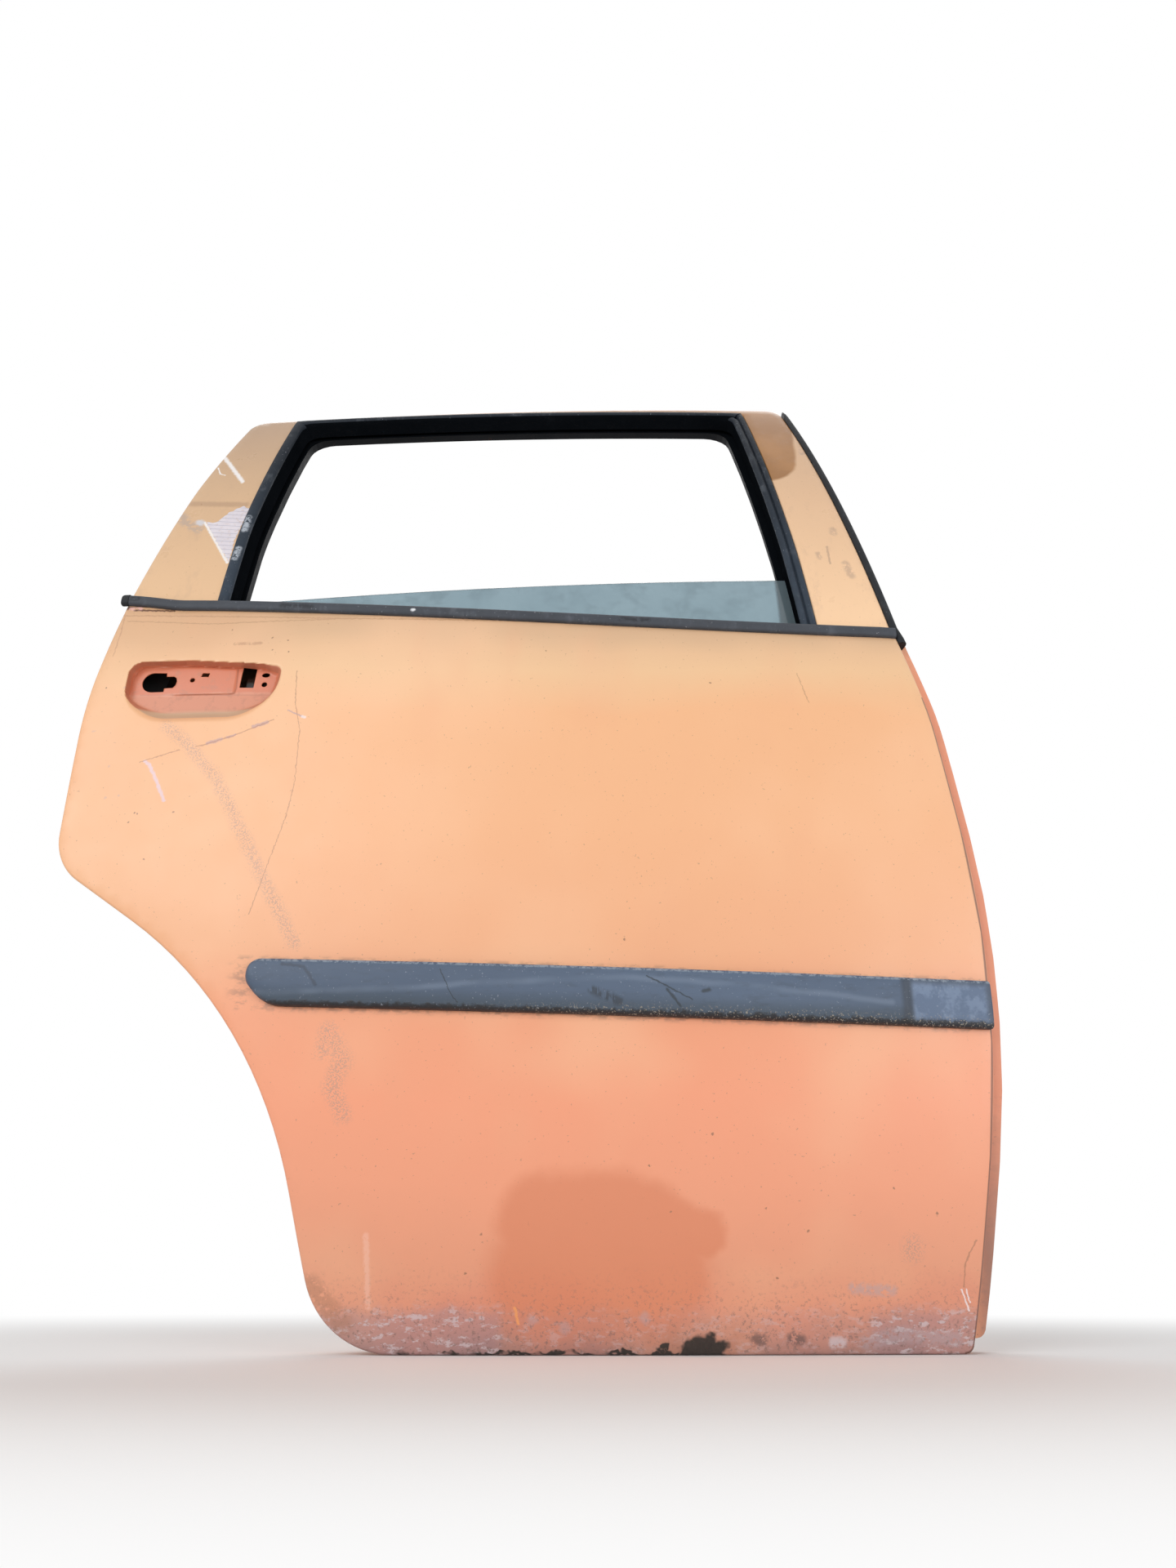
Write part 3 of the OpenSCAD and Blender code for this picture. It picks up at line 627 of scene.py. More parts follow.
STRIP_MARKS = [
    ((0.03, 0.04, 0.05), 0.85, False, (0.9, -504, -252, -491, -278, -486, -283),
     (1.4, -310, -258, -268, -280), (2.6, -291, -271, -279, -286), (4, -257, -272, -252, -271)),
    ((0.04, 0.05, 0.07), 0.6, False, (3, -653, -246, -632, -249, -620, -266)),
    ((0.035, 0.045, 0.06), 0.8, True, (8, -360, -272, -336, -282)),
]
PILLAR_MARKS = [
    # painted dark reflection band across the rear pillar
    ((0.40, 0.24, 0.145), 0.55, False, (9, -841, 338, -775, 333)),
    ((0.86, 0.82, 0.80), 0.95, False, (5, -824, 435, -788, 379), (3.2, -817, 302, -776, 232),
     (1.6, -826, 411, -820, 397, -813, 394)),
    ((0.42, 0.33, 0.29), 0.6, True, (13, -848, 314, -838, 300, -822, 290)),
    ((0.62, 0.64, 0.70), 0.8, True, (9, -824, 303, -821, 301)),
    ((0.45, 0.30, 0.22), 0.55, True, (8, -77, 293, -77, 286), (9, -70, 235, -66, 216),
     (6, -100, 250, -99, 243), (7, -92, 456, -92, 448)),
    ((0.42, 0.27, 0.19), 0.6, False, (2.4, -88, 262, -88, 234)),
]
MOULD_MARKS = [
    ((0.016, 0.018, 0.022), 0.75, True, (7, -880, 176, -866, 177), (6, -700, 160, -668, 158),
     (6, -330, 139, -300, 138)),
    ((0.75, 0.77, 0.8), 0.95, False, (3.6, -556, 151, -555, 151)),
]
SEAL_MARKS = [
    ((0.72, 0.74, 0.78), 0.95, True, (2.2, -593, 488, -585, 492, -578, 489),
     (2.6, -570, 500, -567, 494, -561, 493)),
    ((0.48, 0.52, 0.58), 0.8, True, (7, -765, 307, -766, 285), (7, -767, 254, -768, 238)),
]
REAR_SCUFFS = [(12, -803, 11, -781, -8, -743, -51, -695, -137, -646, -224)]
LOWER_SCUFFS = [(15, -611, -324, -607, -307, -591, -335, -601, -357, -588, -382), (16, -75, -494, -75, -499)]
RUST = [(15, -277, -578, -249, -578), (14, -266, -572, -258, -572), (5, -334, -580, -328, -580),
        (6, -302, -577, -296, -577)]
STAIN = [(88, -402, -476, -340, -473), (76, -350, -472, -312, -477), (58, -316, -477, -290, -482),
         (42, -292, -481, -263, -484), (110, -398, -520, -312, -516)]
# painted shade lines over the recess floor, along the raised step and the bend of the scoop
STEP_LINE = (1.5, -798.2, 54.5, -747.4, 52.5, -741.5, 54.6, -740, 61, -741.3, 84.4)
SCOOP_LINE = (1.6, -843.5, 55.5, -798.6, 54, -736.4, 52.2, -703.3, 51.3)
# painted sheen along the rub strip
SHEEN = (5, -690, -273, -560, -271, -430, -263, -330, -259, -200, -268, -80, -281)
# painted shadow line along the gap at the skin's front edge
FRONT_GAP_SHADE_LINE = (2.2, *[v for p in offset(rounded(DOOR, 3)[0], 0.9) if p[0] > -40 and p[1] < 118 for v in p])
REAR_DOTS = (-878, 60, -752, 131, -706, 119, -689, 115, -704, 103, -686, 100, -822, -87, -819, -88,
             -827, -97, -782, -87, -805, -137)
UPPER_DOTS = (-330, -221, -410, 98, -236, 60)
LOWER_DOTS = (-291, -465, -310, -426, -460, -484, -206, -462, -89, -445, -51, -466, -169, -481, -198, -520,
              -473, -516, -252, -399)
PALE_DOTS = (-858, 60, -882, 8, -858, -34, -856, -69, -842, -68)
GREY_SPOTS = (-414, -554, -316, -552, -386, -560)

# ---------------------------------------------------------------- materials

# what the sun has left of the paint, by height in metres, with painted shade darkening the top under the belt
# shoulder, and a darker foot that is partly dirt and partly painted shade where the skin tucks under
SKIN_TONES_WITH_SHADE = [
    (-0.582, (0.38, 0.19, 0.155)), (-0.562, (0.60, 0.26, 0.18)), (-0.543, (0.735, 0.297, 0.19)),
    (-0.51, (0.785, 0.345, 0.21)), (-0.44, (0.865, 0.36, 0.213)), (-0.37, (0.885, 0.355, 0.205)),
    (-0.306, (0.85, 0.35, 0.195)), (-0.23, (0.84, 0.415, 0.225)), (-0.10, (0.865, 0.455, 0.242)),
    (0.025, (0.86, 0.465, 0.245)), (0.075, (0.825, 0.525, 0.295)), (0.098, (0.78, 0.495, 0.285)),
    (0.12, (0.675, 0.435, 0.258)), (0.16, (0.60, 0.385, 0.23)),
]
# pillar colour by height in metres: faded paint, darkened toward the top as painted reflection of dark surroundings
REAR_PILLAR_REFLECTED_TONES = [(0.17, (0.78, 0.51, 0.30)), (0.36, (0.63, 0.41, 0.24)), (0.53, (0.43, 0.27, 0.16))]
FRONT_PILLAR_REFLECTED_TONES = [(0.14, (0.94, 0.63, 0.385)), (0.34, (0.75, 0.485, 0.293)), (0.45, (0.66, 0.42, 0.25))]


def strip_height(g):
    """Height in metres over the middle of the rub strip."""
    return g.math("ADD", g.z, g.scale(g.x, STRIP_FALL, 0.2805))


def recess_depth_socket(g):
    """Depth behind the skin's face round the handle recess: from a plane through three points of the face,
    less how far the face stands out from it."""
    a, b, c = surface(-857, 54, 0), surface(-690, 54, 0), surface(-774, 92, 0)
    normal = (b - a).cross(a - c).normalized()
    normal = normal if normal.y > 0 else -normal
    depth = g.measure("DOT_PRODUCT", g.vector("SUBTRACT", g.pos, tuple(a)), tuple(normal))
    return g.math("SUBTRACT", depth, g.mul(g.scale(g.z, 1.0, -0.054), g.scale(g.z, 0.66, -0.0607)))


def faded_and_shaded_base(g):
    """Sun-bleached colour by height with painted shade toward the belt and the foot, cloudy, with grime specks."""
    ragged_low = g.mul(g.step(g.z, -0.42, -0.55), g.scale(g.noise(26, 2, 0.7), 0.045, -0.0225))
    g.colour = g.ramp(g.math("ADD", g.wavy(g.z, 0.05, 7, 2), ragged_low), SKIN_TONES_WITH_SHADE)
    g.lay((0.93, 0.56, 0.34), g.spots(0.42, 0.75, 5, 2, 0.6), 0.4)
    g.lay((0.80, 0.38, 0.22), g.spots(0.5, 0.8, 13, 2, 0.65, (1, 1, 0.4)), 0.22)
    g.lay((0.76, 0.41, 0.205), g.mul(g.step(g.x, -0.58, -0.86), g.step(g.z, -0.28, -0.2)), 0.38)
    g.lay((0.40, 0.22, 0.14), g.spots(0.735, 0.77, 420, 1, 0.5), 0.5)


def worn_base(g, groups, dots, scuffs=()):
    """Marks, dots, scuffs, dirt along the rub strip and the gap line at the front, a painted shadow with dirt in the
    crevice behind the hem.
    """
    rough_edge = g.shifted(1.6, 260)
    g.marks(groups, rough_edge, g.spots(0.34, 0.5, 190, 2, 0.7))
    g.lay((0.34, 0.17, 0.10), g.dots(dots, 1.9, rough_edge), 0.9)
    if scuffs:
        scuff = g.strokes(scuffs, g.shifted(4, 45), 0.9)
        g.lay((0.52, 0.30, 0.22), g.mul(scuff, g.spots(0.46, 0.58, 700, 1, 0.7)), 0.75)
    dirt = g.mul(g.step(g.math("ABSOLUTE", strip_height(g)), 0.0285, 0.0225),
                 g.spots(0.45, 0.62, 110, 3, 0.7, (0.5, 1, 1)), g.step(g.x, -0.712, -0.695))
    g.lay((0.36, 0.185, 0.12), dirt, 0.6)
    # painted shadow with dirt in the crevice between the skin's front hem and the nose
    g.lay((0.16, 0.07, 0.045), g.stroke(FRONT_GAP_SHADE_LINE, soft=0.5), 0.8)


def paint_surface(g, dull=0.0, normal=None):
    normal = g.bump(g.noise(900, 1, 0.6), 0.05, 0.0004, normal)
    return g.principled(Roughness=g.most(g.scale(g.noise(30, 3), 0.2, 0.3), dull),
                        Normal=g.bump(g.noise(5, 1), 0.05, 0.02, normal), Coat_Weight=0.12, Coat_Roughness=0.22)


def upper_paint():
    g = Graph("faded_orange_paint")
    faded_and_shaded_base(g)
    worn_base(g, UPPER_MARKS, UPPER_DOTS)
    return paint_surface(g)


def worn_upper_paint():
    """The scratched rear part above the rub strip, with the handle recess."""
    g = Graph("scratched_orange_paint")
    faded_and_shaded_base(g)
    worn_base(g, REAR_MARKS, REAR_DOTS, REAR_SCUFFS)
    g.lay((0.58, 0.36, 0.28), g.dots(PALE_DOTS, 3.2, g.shifted(3, 120)), 0.5)
    # the pressed recess: paint which the sun has not reached, with painted shade on its upper and side walls
    depth = recess_depth_socket(g)
    in_recess = g.mul(g.step(g.x, -0.6865, -0.6885), g.step(g.x, -0.8595, -0.8575), g.step(g.z, 0.012, 0.0145),
                      g.step(g.z, 0.096, 0.0945))
    lower = g.step(g.wavy(g.z, 0.006, 60, 3), 0.0565, 0.0535)
    floor_tone = g.mix(lower, (0.61, 0.185, 0.095), (0.63, 0.25, 0.15))
    floor_tone = g.mix(g.scale(g.spots(0.52, 0.68, 90, 3, 0.7), 0.45), floor_tone, (0.47, 0.19, 0.115))
    shaded_wall_tone = g.mix(g.noise(110, 4, 0.7), (0.44, 0.145, 0.08), (0.60, 0.215, 0.12))
    sunlit = g.mul(g.step(g.z, 0.037, 0.031), g.step(g.math("ABSOLUTE", g.scale(g.x, 1.0, 0.781)), 0.07, 0.055))
    # painted shade on the upper and side walls; the lower slope keeps the faded tan of the outside
    g.lay(g.mix(sunlit, shaded_wall_tone, (0.58, 0.375, 0.24)), g.mul(in_recess, g.step(depth, 0.0007, 0.0021)))
    g.lay(floor_tone, g.mul(in_recess, g.step(depth, 0.0078, 0.0090)))
    # painted shade along the step and the bend of the scoop
    step_shade_line = g.most(g.stroke(STEP_LINE), g.scale(g.stroke(SCOOP_LINE, soft=0.8), 0.45))
    g.lay((0.40, 0.14, 0.085), step_shade_line, 0.62)
    return paint_surface(g)


def lower_paint():
    """Below the rub strip: stain, lilac bloom and rust."""
    g = Graph("stained_orange_paint")
    faded_and_shaded_base(g)
    ragged = g.shifted(6, 45)
    g.lay((0.70, 0.24, 0.122), g.strokes(STAIN, ragged, 0.26), 0.72)
    # bloom with whitish flecks along the foot, strongest at its two ends
    ends = g.most(g.step(g.x, -0.43, -0.45), g.step(g.x, -0.13, -0.105), 0.35)
    foot = g.mul(g.step(g.wavy(g.z, 0.03, 24, 4, 0.7), -0.538, -0.556), ends)
    g.lay((0.40, 0.26, 0.27), foot, 0.55)
    g.lay(FLECK, g.mul(foot, g.spots(0.52, 0.64, 150, 3, 0.72, (0.6, 1, 1.3))), 0.75)
    g.lay((0.24, 0.15, 0.13), g.mul(g.spots(0.53, 0.66, 300, 4, 0.7), g.step(g.z, -0.50, -0.578)), 0.8)
    g.lay(GREY, g.dots(GREY_SPOTS, 9, g.shifted(4, 120), 0.6), 0.4)
    worn_base(g, LOWER_MARKS, LOWER_DOTS, LOWER_SCUFFS)
    # rust that has eaten into the lower edge
    spiky = g.shifted(9, 75)
    halo = g.mul(g.stroke((34, -300, -578, -240, -576), ragged, 0.8), g.spots(0.3, 0.6, 70, 3))
    g.lay((0.50, 0.21, 0.13), halo, 0.55)
    rust = g.mul(g.stroke((3.4, -537, -581.5, -286, -581), spiky, 0.4), g.spots(0.4, 0.5, 36, 3))
    rust = g.most(rust, g.strokes(RUST, spiky, 0.28))
    g.lay(g.mix(g.noise(240, 4, 0.7), (0.012, 0.010, 0.009), (0.065, 0.045, 0.036)), rust)
    pitted = g.bump(g.mul(g.dots((-262, -574), 34), g.noise(220, 4, 0.7)), 0.9, 0.0014)
    return paint_surface(g, g.scale(g.most(foot, rust), 0.85), pitted)


def frame_paint():
    g = Graph("glossy_copper_paint")
    height = g.wavy(g.z, 0.05, 8, 3)
    front = g.step(g.x, -0.5, -0.2)
    g.colour = g.mix(front, g.ramp(height, REAR_PILLAR_REFLECTED_TONES), g.ramp(height, FRONT_PILLAR_REFLECTED_TONES))
    # a darker area at the top of the front pillar: painted reflection of dark surroundings, over paint that is less
    # faded there
    patch = g.most(g.stroke((94, -135, 600, -150, 430), g.shifted(2.5, 30), 0.06),
                   g.mul(g.step(g.z, 0.50, 0.53), front))
    g.lay(g.mix(g.spots(0.35, 0.7, 14, 3), (0.32, 0.14, 0.036), (0.40, 0.185, 0.056)), patch)
    g.lay((0.4, 0.25, 0.15), g.spots(0.735, 0.77, 420, 1, 0.5), 0.5)
    film = g.spots(0.52, 0.72, 38, 4, 0.7, (1, 1, 0.5))
    g.lay((0.40, 0.26, 0.20), film, 0.16)
    g.marks(PILLAR_MARKS, g.shifted(1.4, 220), g.spots(0.38, 0.52, 170, 4, 0.7))
    return g.principled(Roughness=g.most(g.scale(g.noise(24, 4), 0.16, 0.22), g.scale(film, 0.4)),
                        Normal=g.bump(g.noise(700, 1), 0.04, 0.0004), Coat_Weight=0.06,
                        Coat_Roughness=0.1, Specular_IOR_Level=0.35)


def inner_paint():
    g = Graph("thin_salmon_paint", (0.82, 0.34, 0.20), (0.90, 0.48, 0.29), 7, 3, 0.6)
    g.lay((0.62, 0.30, 0.19), g.spots(0.55, 0.78, 26, 4, 0.7), 0.45)
    g.lay((0.36, 0.24, 0.19), g.mul(g.spots(0.5, 0.75, 60, 4, 0.7), g.step(g.z, -0.2, -0.55)), 0.7)
    nose = g.mul(g.step(g.x, -0.02, 0.0), g.step(g.y, 0.03, 0.02))
    g.lay((0.80, 0.26, 0.155), nose, 0.5)
    g.lay((0.27, 0.17, 0.14), g.mul(nose, g.step(g.wavy(g.z, 0.16, 30, 4, 0.7), -0.36, -0.50)), 0.7)
    g.lay((0.10, 0.045, 0.025), g.mul(g.spots(0.66, 0.72, 48, 4, 0.75), g.step(g.z, -0.3, -0.58)), 0.85)
    g.lay((0.32, 0.17, 0.12), g.spots(0.72, 0.76, 380, 2, 0.5), 0.6)
    return g.principled(Roughness=g.scale(g.noise(40, 3), 0.25, 0.38),
                        Normal=g.bump(g.noise(600, 1), 0.08, 0.0005))


def primer(name, dark, light, rust=0.3, shine=0.5):
    g = Graph(name, dark, light, 18, 4, 0.65)
    g.lay((0.16, 0.07, 0.035), g.spots(0.62, 0.7, 70, 4, 0.75), rust)
    return g.principled(Roughness=g.scale(g.noise(50, 3), 0.3, 0.4), Specular_IOR_Level=shine,
                        Normal=g.bump(g.noise(500, 1), 0.12, 0.0005))


def plated(name, dark, light, rough):
    g = Graph(name, dark, light, 22, 4, 0.6)
    stain = g.spots(0.6, 0.74, 60, 4, 0.7)
    g.lay((0.20, 0.15, 0.10), stain, 0.6)
    return g.principled(Metallic=0.9, Roughness=g.most(g.scale(g.noise(80, 3), 0.25, rough), g.scale(stain, 0.75)),
                        Normal=g.bump(g.noise(300, 4, 0.6, (0.15, 1, 1)), 0.08, 0.0004))


def rubber(name, dark, light, gloss=0.45, dust=0.5, marks=(), shine=0.4, shade=None):
    g = Graph(name, dark, light, 16, 4, 0.65)
    # painted shade: the colour turns to the dark tone between the two given heights
    if shade:
        g.lay(dark, g.step(g.z, *shade))
    g.lay((0.20, 0.22, 0.25), g.spots(0.52, 0.74, 45, 3, 0.75, (1, 1, 0.5)), dust * 0.4)
    g.lay((0.45, 0.47, 0.5), g.spots(0.74, 0.77, 520, 1, 0.5), dust)
    g.marks(marks, g.shifted(1.2, 260), g.spots(0.38, 0.52, 240, 4, 0.7))
    normal = g.bump(g.noise(900, 1, 0.6), 0.12, 0.0004)
    return g.principled(Roughness=g.scale(g.noise(60, 4, 0.7), 0.3, gloss), Specular_IOR_Level=shine,
                        Normal=g.bump(g.noise(40, 4, 0.6), 0.12, 0.002, normal))


def strip_plastic():
    g = Graph("weathered_strip_plastic", (0.06, 0.088, 0.14), (0.112, 0.158, 0.235), 9, 4, 0.65, (0.35, 1, 1))
    across = strip_height(g)
    g.lay((0.05, 0.072, 0.115), g.step(g.x, -0.35, -0.6), 0.4)
    g.lay((0.05, 0.065, 0.085), g.spots(0.5, 0.7, 150, 4, 0.75, (0.3, 1, 1)), 0.3)
    # painted shade darkening toward its foot, where the face turns down, and a painted sheen that wanders along it
    g.lay((0.045, 0.062, 0.075), g.step(across, 0.0, -0.018), 0.62)
    g.lay((0.22, 0.28, 0.37), g.mul(g.stroke(SHEEN, g.shifted(3, 20), 0.9), g.spots(0.3, 0.6, 11, 3)), 0.3)
    # fixing pad at the front end, with painted shade in the step behind it
    rim = g.most(g.step(g.x, 0.008, 0.015), g.step(across, 0.013, 0.020), g.step(across, -0.013, -0.020))
    pad_tone = g.mix(g.spots(0.42, 0.62, 60, 3, 0.7), (0.115, 0.165, 0.26), (0.18, 0.245, 0.36))
    pad_tone = g.mix(g.scale(rim, 0.7), pad_tone, (0.045, 0.055, 0.075))
    g.lay(pad_tone, g.step(g.x, -0.063, -0.057), 0.85)
    g.lay((0.035, 0.045, 0.062), g.mul(g.step(g.x, -0.073, -0.067), g.step(g.x, -0.056, -0.063)), 0.75)
    # grime that lies along the lower edge, in blobs at the rear and as grit at the front
    low = g.step(g.wavy(across, 0.012, 120, 4, 0.75), -0.0155, -0.0195)
    blobs = g.stroke((10, -672, -286, -579, -287), g.shifted(5, 60), 0.3)
    low = g.most(low, g.mul(blobs, g.spots(0.4, 0.5, 46, 4)))
    g.lay((0.016, 0.015, 0.016), low, 0.9)
    grit = g.mul(g.spots(0.6, 0.68, 520, 1, 0.7), g.step(across, -0.010, -0.017), g.step(g.x, -0.52, -0.3))
    g.lay((0.34, 0.30, 0.24), grit, 0.75)
    g.lay((0.36, 0.42, 0.48), g.mul(g.step(across, 0.0185, 0.0205), g.spots(0.42, 0.55, 260, 4, 0.7)), 0.6)
    g.lay((0.32, 0.36, 0.42), g.spots(0.72, 0.75, 480, 1, 0.5), 0.45)
    g.marks(STRIP_MARKS, g.shifted(1.5, 200), g.spots(0.46, 0.54, 260, 3, 0.6, (1, 1, 0.2)))
    normal = g.bump(g.noise(1100, 1, 0.6), 0.15, 0.0003)
    return g.principled(Roughness=g.scale(g.noise(40, 4, 0.7), 0.25, 0.4), Specular_IOR_Level=0.45,
                        Normal=g.bump(g.mul(low, g.noise(320, 3, 0.7)), 0.6, 0.001, normal))


def glass_material():
    """Tinted, with a dusty film and a dull strip along its front edge."""
    g = Graph("tinted_door_glass", (0.19, 0.285, 0.335), (0.29, 0.40, 0.45), 12, 4, 0.6)
    film = g.spots(0.42, 0.78, 30, 3, 0.75)
    edge = g.step(g.x, -0.152, -0.147)
    g.lay((0.135, 0.20, 0.235), film, 0.6)
    g.lay((0.15, 0.20, 0.225), edge)
    return g.principled(Roughness=g.scale(film, 0.16, 0.015), Transmission_Weight=g.scale(edge, -0.8, 1.0), IOR=1.5)


def paper():
    g = Graph("torn_blank_paper", (0.60, 0.55, 0.60), (0.80, 0.75, 0.79), 60, 4, 0.7)
    g.lay((0.58, 0.45, 0.40), g.spots(0.56, 0.66, 220, 3, 0.7), 0.55)
    along = g.math("ADD", g.z, g.scale(g.x, 0.12))
    g.lay((0.34, 0.32, 0.42), g.step(g.math("PINGPONG", g.scale(along, 150.0), 0.5), 0.09, 0.04), 0.6)
    return g.principled(Roughness=g.scale(g.noise(200, 4), 0.2, 0.7),
                        Normal=g.bump(g.noise(300, 3, 0.7), 0.4, 0.0005))


# the seal rubber gets painted shade toward the top
seal = rubber("blue_grey_seal_rubber", (0.008, 0.012, 0.019), (0.046, 0.064, 0.09), marks=SEAL_MARKS, shine=0.2,
              shade=(0.2, 0.45))
# the channel's black rubber is made near black as painted shade deep in the channel
channel_rubber_with_painted_shade = rubber("black_channel_rubber", (0.002, 0.003, 0.004), (0.006, 0.007, 0.009), 0.4, 0.02, shine=0.0)
moulding = rubber("belt_moulding_rubber", (0.032, 0.036, 0.044), (0.068, 0.076, 0.092), marks=MOULD_MARKS, shine=0.3)
black_rubber = rubber("black_rubber", (0.008, 0.009, 0.011), (0.022, 0.024, 0.028), 0.5, 0.25, shine=0.25)

CAD_LOOKS = (
    (inner_paint(), "inner_panel"),
    (primer("black_frame_paint", (0.004, 0.005, 0.006), (0.012, 0.013, 0.016), 0.12, 0.08), "frame_inner"),
    (primer("painted_brace_steel", (0.52, 0.27, 0.17), (0.66, 0.36, 0.24)),
     "belt_brace_outer belt_brace_inner guide_channel_rear guide_channel_front"),
    (primer("dipped_plate_steel", (0.30, 0.28, 0.26), (0.46, 0.44, 0.41), 0.5),
     "upper_hinge_plate lower_hinge_plate latch_plate"),
    (primer("dark_dipped_steel", (0.10, 0.10, 0.11), (0.20, 0.20, 0.21), 0.4),
     "side_beam beam_bracket_front beam_bracket_rear"),
    (primer("black_dipped_steel", (0.010, 0.010, 0.011), (0.03, 0.03, 0.032)), "door_latch"),
    (plated("yellow_zinc", (0.48, 0.43, 0.30), (0.66, 0.61, 0.47), 0.3), "regulator_rail"),
    (plated("dull_steel", (0.30, 0.30, 0.31), (0.46, 0.46, 0.47), 0.38), "regulator_drive"),
    (rubber("carrier_plastic", (0.05, 0.05, 0.055), (0.10, 0.10, 0.11), 0.42, 0.3), "regulator_carrier"),
    (black_rubber, "inner_belt_seal plug_front plug_rear plug_low"),
)
for material, names in CAD_LOOKS:
    for name in names.split():
        nodes[name].data.materials.clear()
        nodes[name].data.materials.append(material)

# ---------------------------------------------------------------- outer skin with its recess

door_line = rounded(DOOR, 16)[0]
below = cut_by_belt(door_line, False)
below += [np.array((x, belt(x))) for x in np.linspace(below[-1][0], below[0][0], 40)[1:-1]]
skin_outline = dense(below, 9.0)

FLOOR_D = 11.0
SCOOP_Z = 53.0  # height under which the floor rises toward the skin
WORN_X = -640  # front end of the worn paint
RECESS = [(-826, 15.9, 50), (-691, 15.9, 57), (-690, 83, 9), (-800, 92.3, 400), (-856.5, 91, 15), (-857, 43, 40)]
recess_line = dense(rounded(RECESS, 14)[0], 1.8)
patch_line = offset(recess_line, -7.0)


def circle(cx, cz, rx, rz=None, n=20):
    """Ellipse when rz is given."""
    rz = rz or rx
    return [np.array((cx + rx * math.cos(2 * math.pi * k / n), cz + rz * math.sin(2 * math.pi * k / n)))
            for k in range(n)]


def four_sided(r, *corners):
    return rounded([(x, z, r) for x, z in corners], 3)[0]


def keyhole(cx, cz, r):
    """Round at the rear, squared at the front, with a slot for the linkage."""
    arc = [np.array((cx + r * math.cos(t), cz + r * math.sin(t)))
           for t in np.linspace(math.pi / 2, 3 * math.pi / 2, 22)]
    front = [(13, -r), (13, -7.8), (22.5, -7.8), (25.2, -4.6), (26, 0), (25, 4.2), (22, 6.6), (13.6, 7), (13.2, 11.4)]
    return arc + [np.array((cx + a, cz + b)) for a, b in front]


recess_holes = [keyhole(-832.3, 70.9, 12.2), circle(-789.3, 71.8, 2.7),
                four_sided(0.6, (-780.4, 75.7), (-772.4, 75.5), (-771.2, 80.0), (-779.4, 80.4)),
                four_sided(0.8, (-737.1, 61.6), (-721.9, 61.0), (-720.6, 84.5), (-736.0, 86.1)),
                circle(-710.2, 76.5, 4.3, 2.8), circle(-710.5, 64.7, 3.0)]
recess_holes = [dense(h, 2.0) for h in recess_holes]


def recess_depth(pts):
    """How far the skin is pressed in: steep walls behind and above, slanting ones in front and below."""
    pts = np.array(pts)
    x, z = pts[:, 0], pts[:, 1]
    d = clearance(pts, recess_line) * np.where(inside(pts, recess_line), 1, -1)
    low = ease((56 - z) / 26)
    wall = 1.8 + 7.6 * ease((x + 714) / 16) * (1 - low) + 14.6 * low
    floor = FLOOR_D - 1.4 * np.clip((SCOOP_Z - z) / 24, 0, 1)
    depth = floor * ease((d + 0.5) / wall)
    # raised middle of the floor, with an edge below and in front
    line = ease((z - SCOOP_Z) / 1.5) * ease((-740.6 - x - 0.1 * np.maximum(0, 60 - z)) / 1.5) * ease((x + 826) / 30)
    return depth - 1.3 * line * ease((d - wall) / 2)


HEM = [(2.2, 0.0), (1.2, 0.35), (0.4, 1.2), (0.0, 2.3), (0.4, 3.5), (1.2, 4.2), (2.2, 4.5), (7.4, 4.5), (7.4, 3.1),
       (1.9, 3.1), (1.9, 1.6), (2.2, SHEET)]
HOLE_EDGE = [(0.35, 0.0), (0.0, 0.3), (0.0, 1.2), (0.35, SHEET)]
skin = plate(skin_outline, recess_holes, 11.0, recess_depth, SHEET, HEM, HOLE_EDGE, (patch_line, 1.5))
# the rub strip hides where the lower paint begins; the worn paint at the rear matches its neighbour
centres = np.array([np.mean([skin[0][i] for i in face], axis=0) for face in skin[1]]) / MM
low = centres[:, 2] < strip_mid(centres[:, 0])
worn = ~low & (centres[:, 0] < WORN_X)
finish_mesh("door_skin", *skin, upper_paint(), "door_paint", ("outer_skin",), 38,
            [(lower_paint(), np.flatnonzero(low).tolist()), (worn_upper_paint(), np.flatnonzero(worn).tolist())])

# ---------------------------------------------------------------- painted window frame

door_top = cut_by_belt(dense(door_line, 10.0), True)
window_top = cut_by_belt(dense(rounded(window(0, 0, 0), 14)[0], 10.0), True)
frame_outline = door_top + window_top[::-1]
frame_outline = [p for i, p in enumerate(frame_outline) if np.linalg.norm(p - frame_outline[i - 1]) > 0.4]
FRAME_EDGE = [(2.6, 0.0), (1.2, 0.4), (0.35, 1.2), (0.0, 2.6), (0.0, 10.0), (0.0, 20.0), (0.0, 28.0),
              (1.4, 28.0), (1.4, 10.0), (1.4, 2.0), (2.6, SHEET)]
pillars = plate(frame_outline, [], 9.0, flat, SHEET, FRAME_EDGE, [])
finish_mesh("window_frame_skin", *pillars, frame_paint(), "frame_paint", ("frame_outer",))

# ---------------------------------------------------------------- glass

# the pane leans forward by RAKE, and its top stands GLASS_UP over the belt line
RAKE = 0.09
GLASS_IN, GLASS_T, GLASS_UP, GLASS_H = 21.0, 4.0, 52.5, 426.0
GLASS_LOW = BELT_Z + GLASS_UP - GLASS_H
GLASS_FRONT, GLASS_REAR, GLASS_MID, GLASS_TOP_SLOPE = -125.5, REAR + 130.5, -457.0, 0.062


def glass_top(x):
    return BELT_Z + GLASS_UP + (x - GLASS_MID) * GLASS_TOP_SLOPE


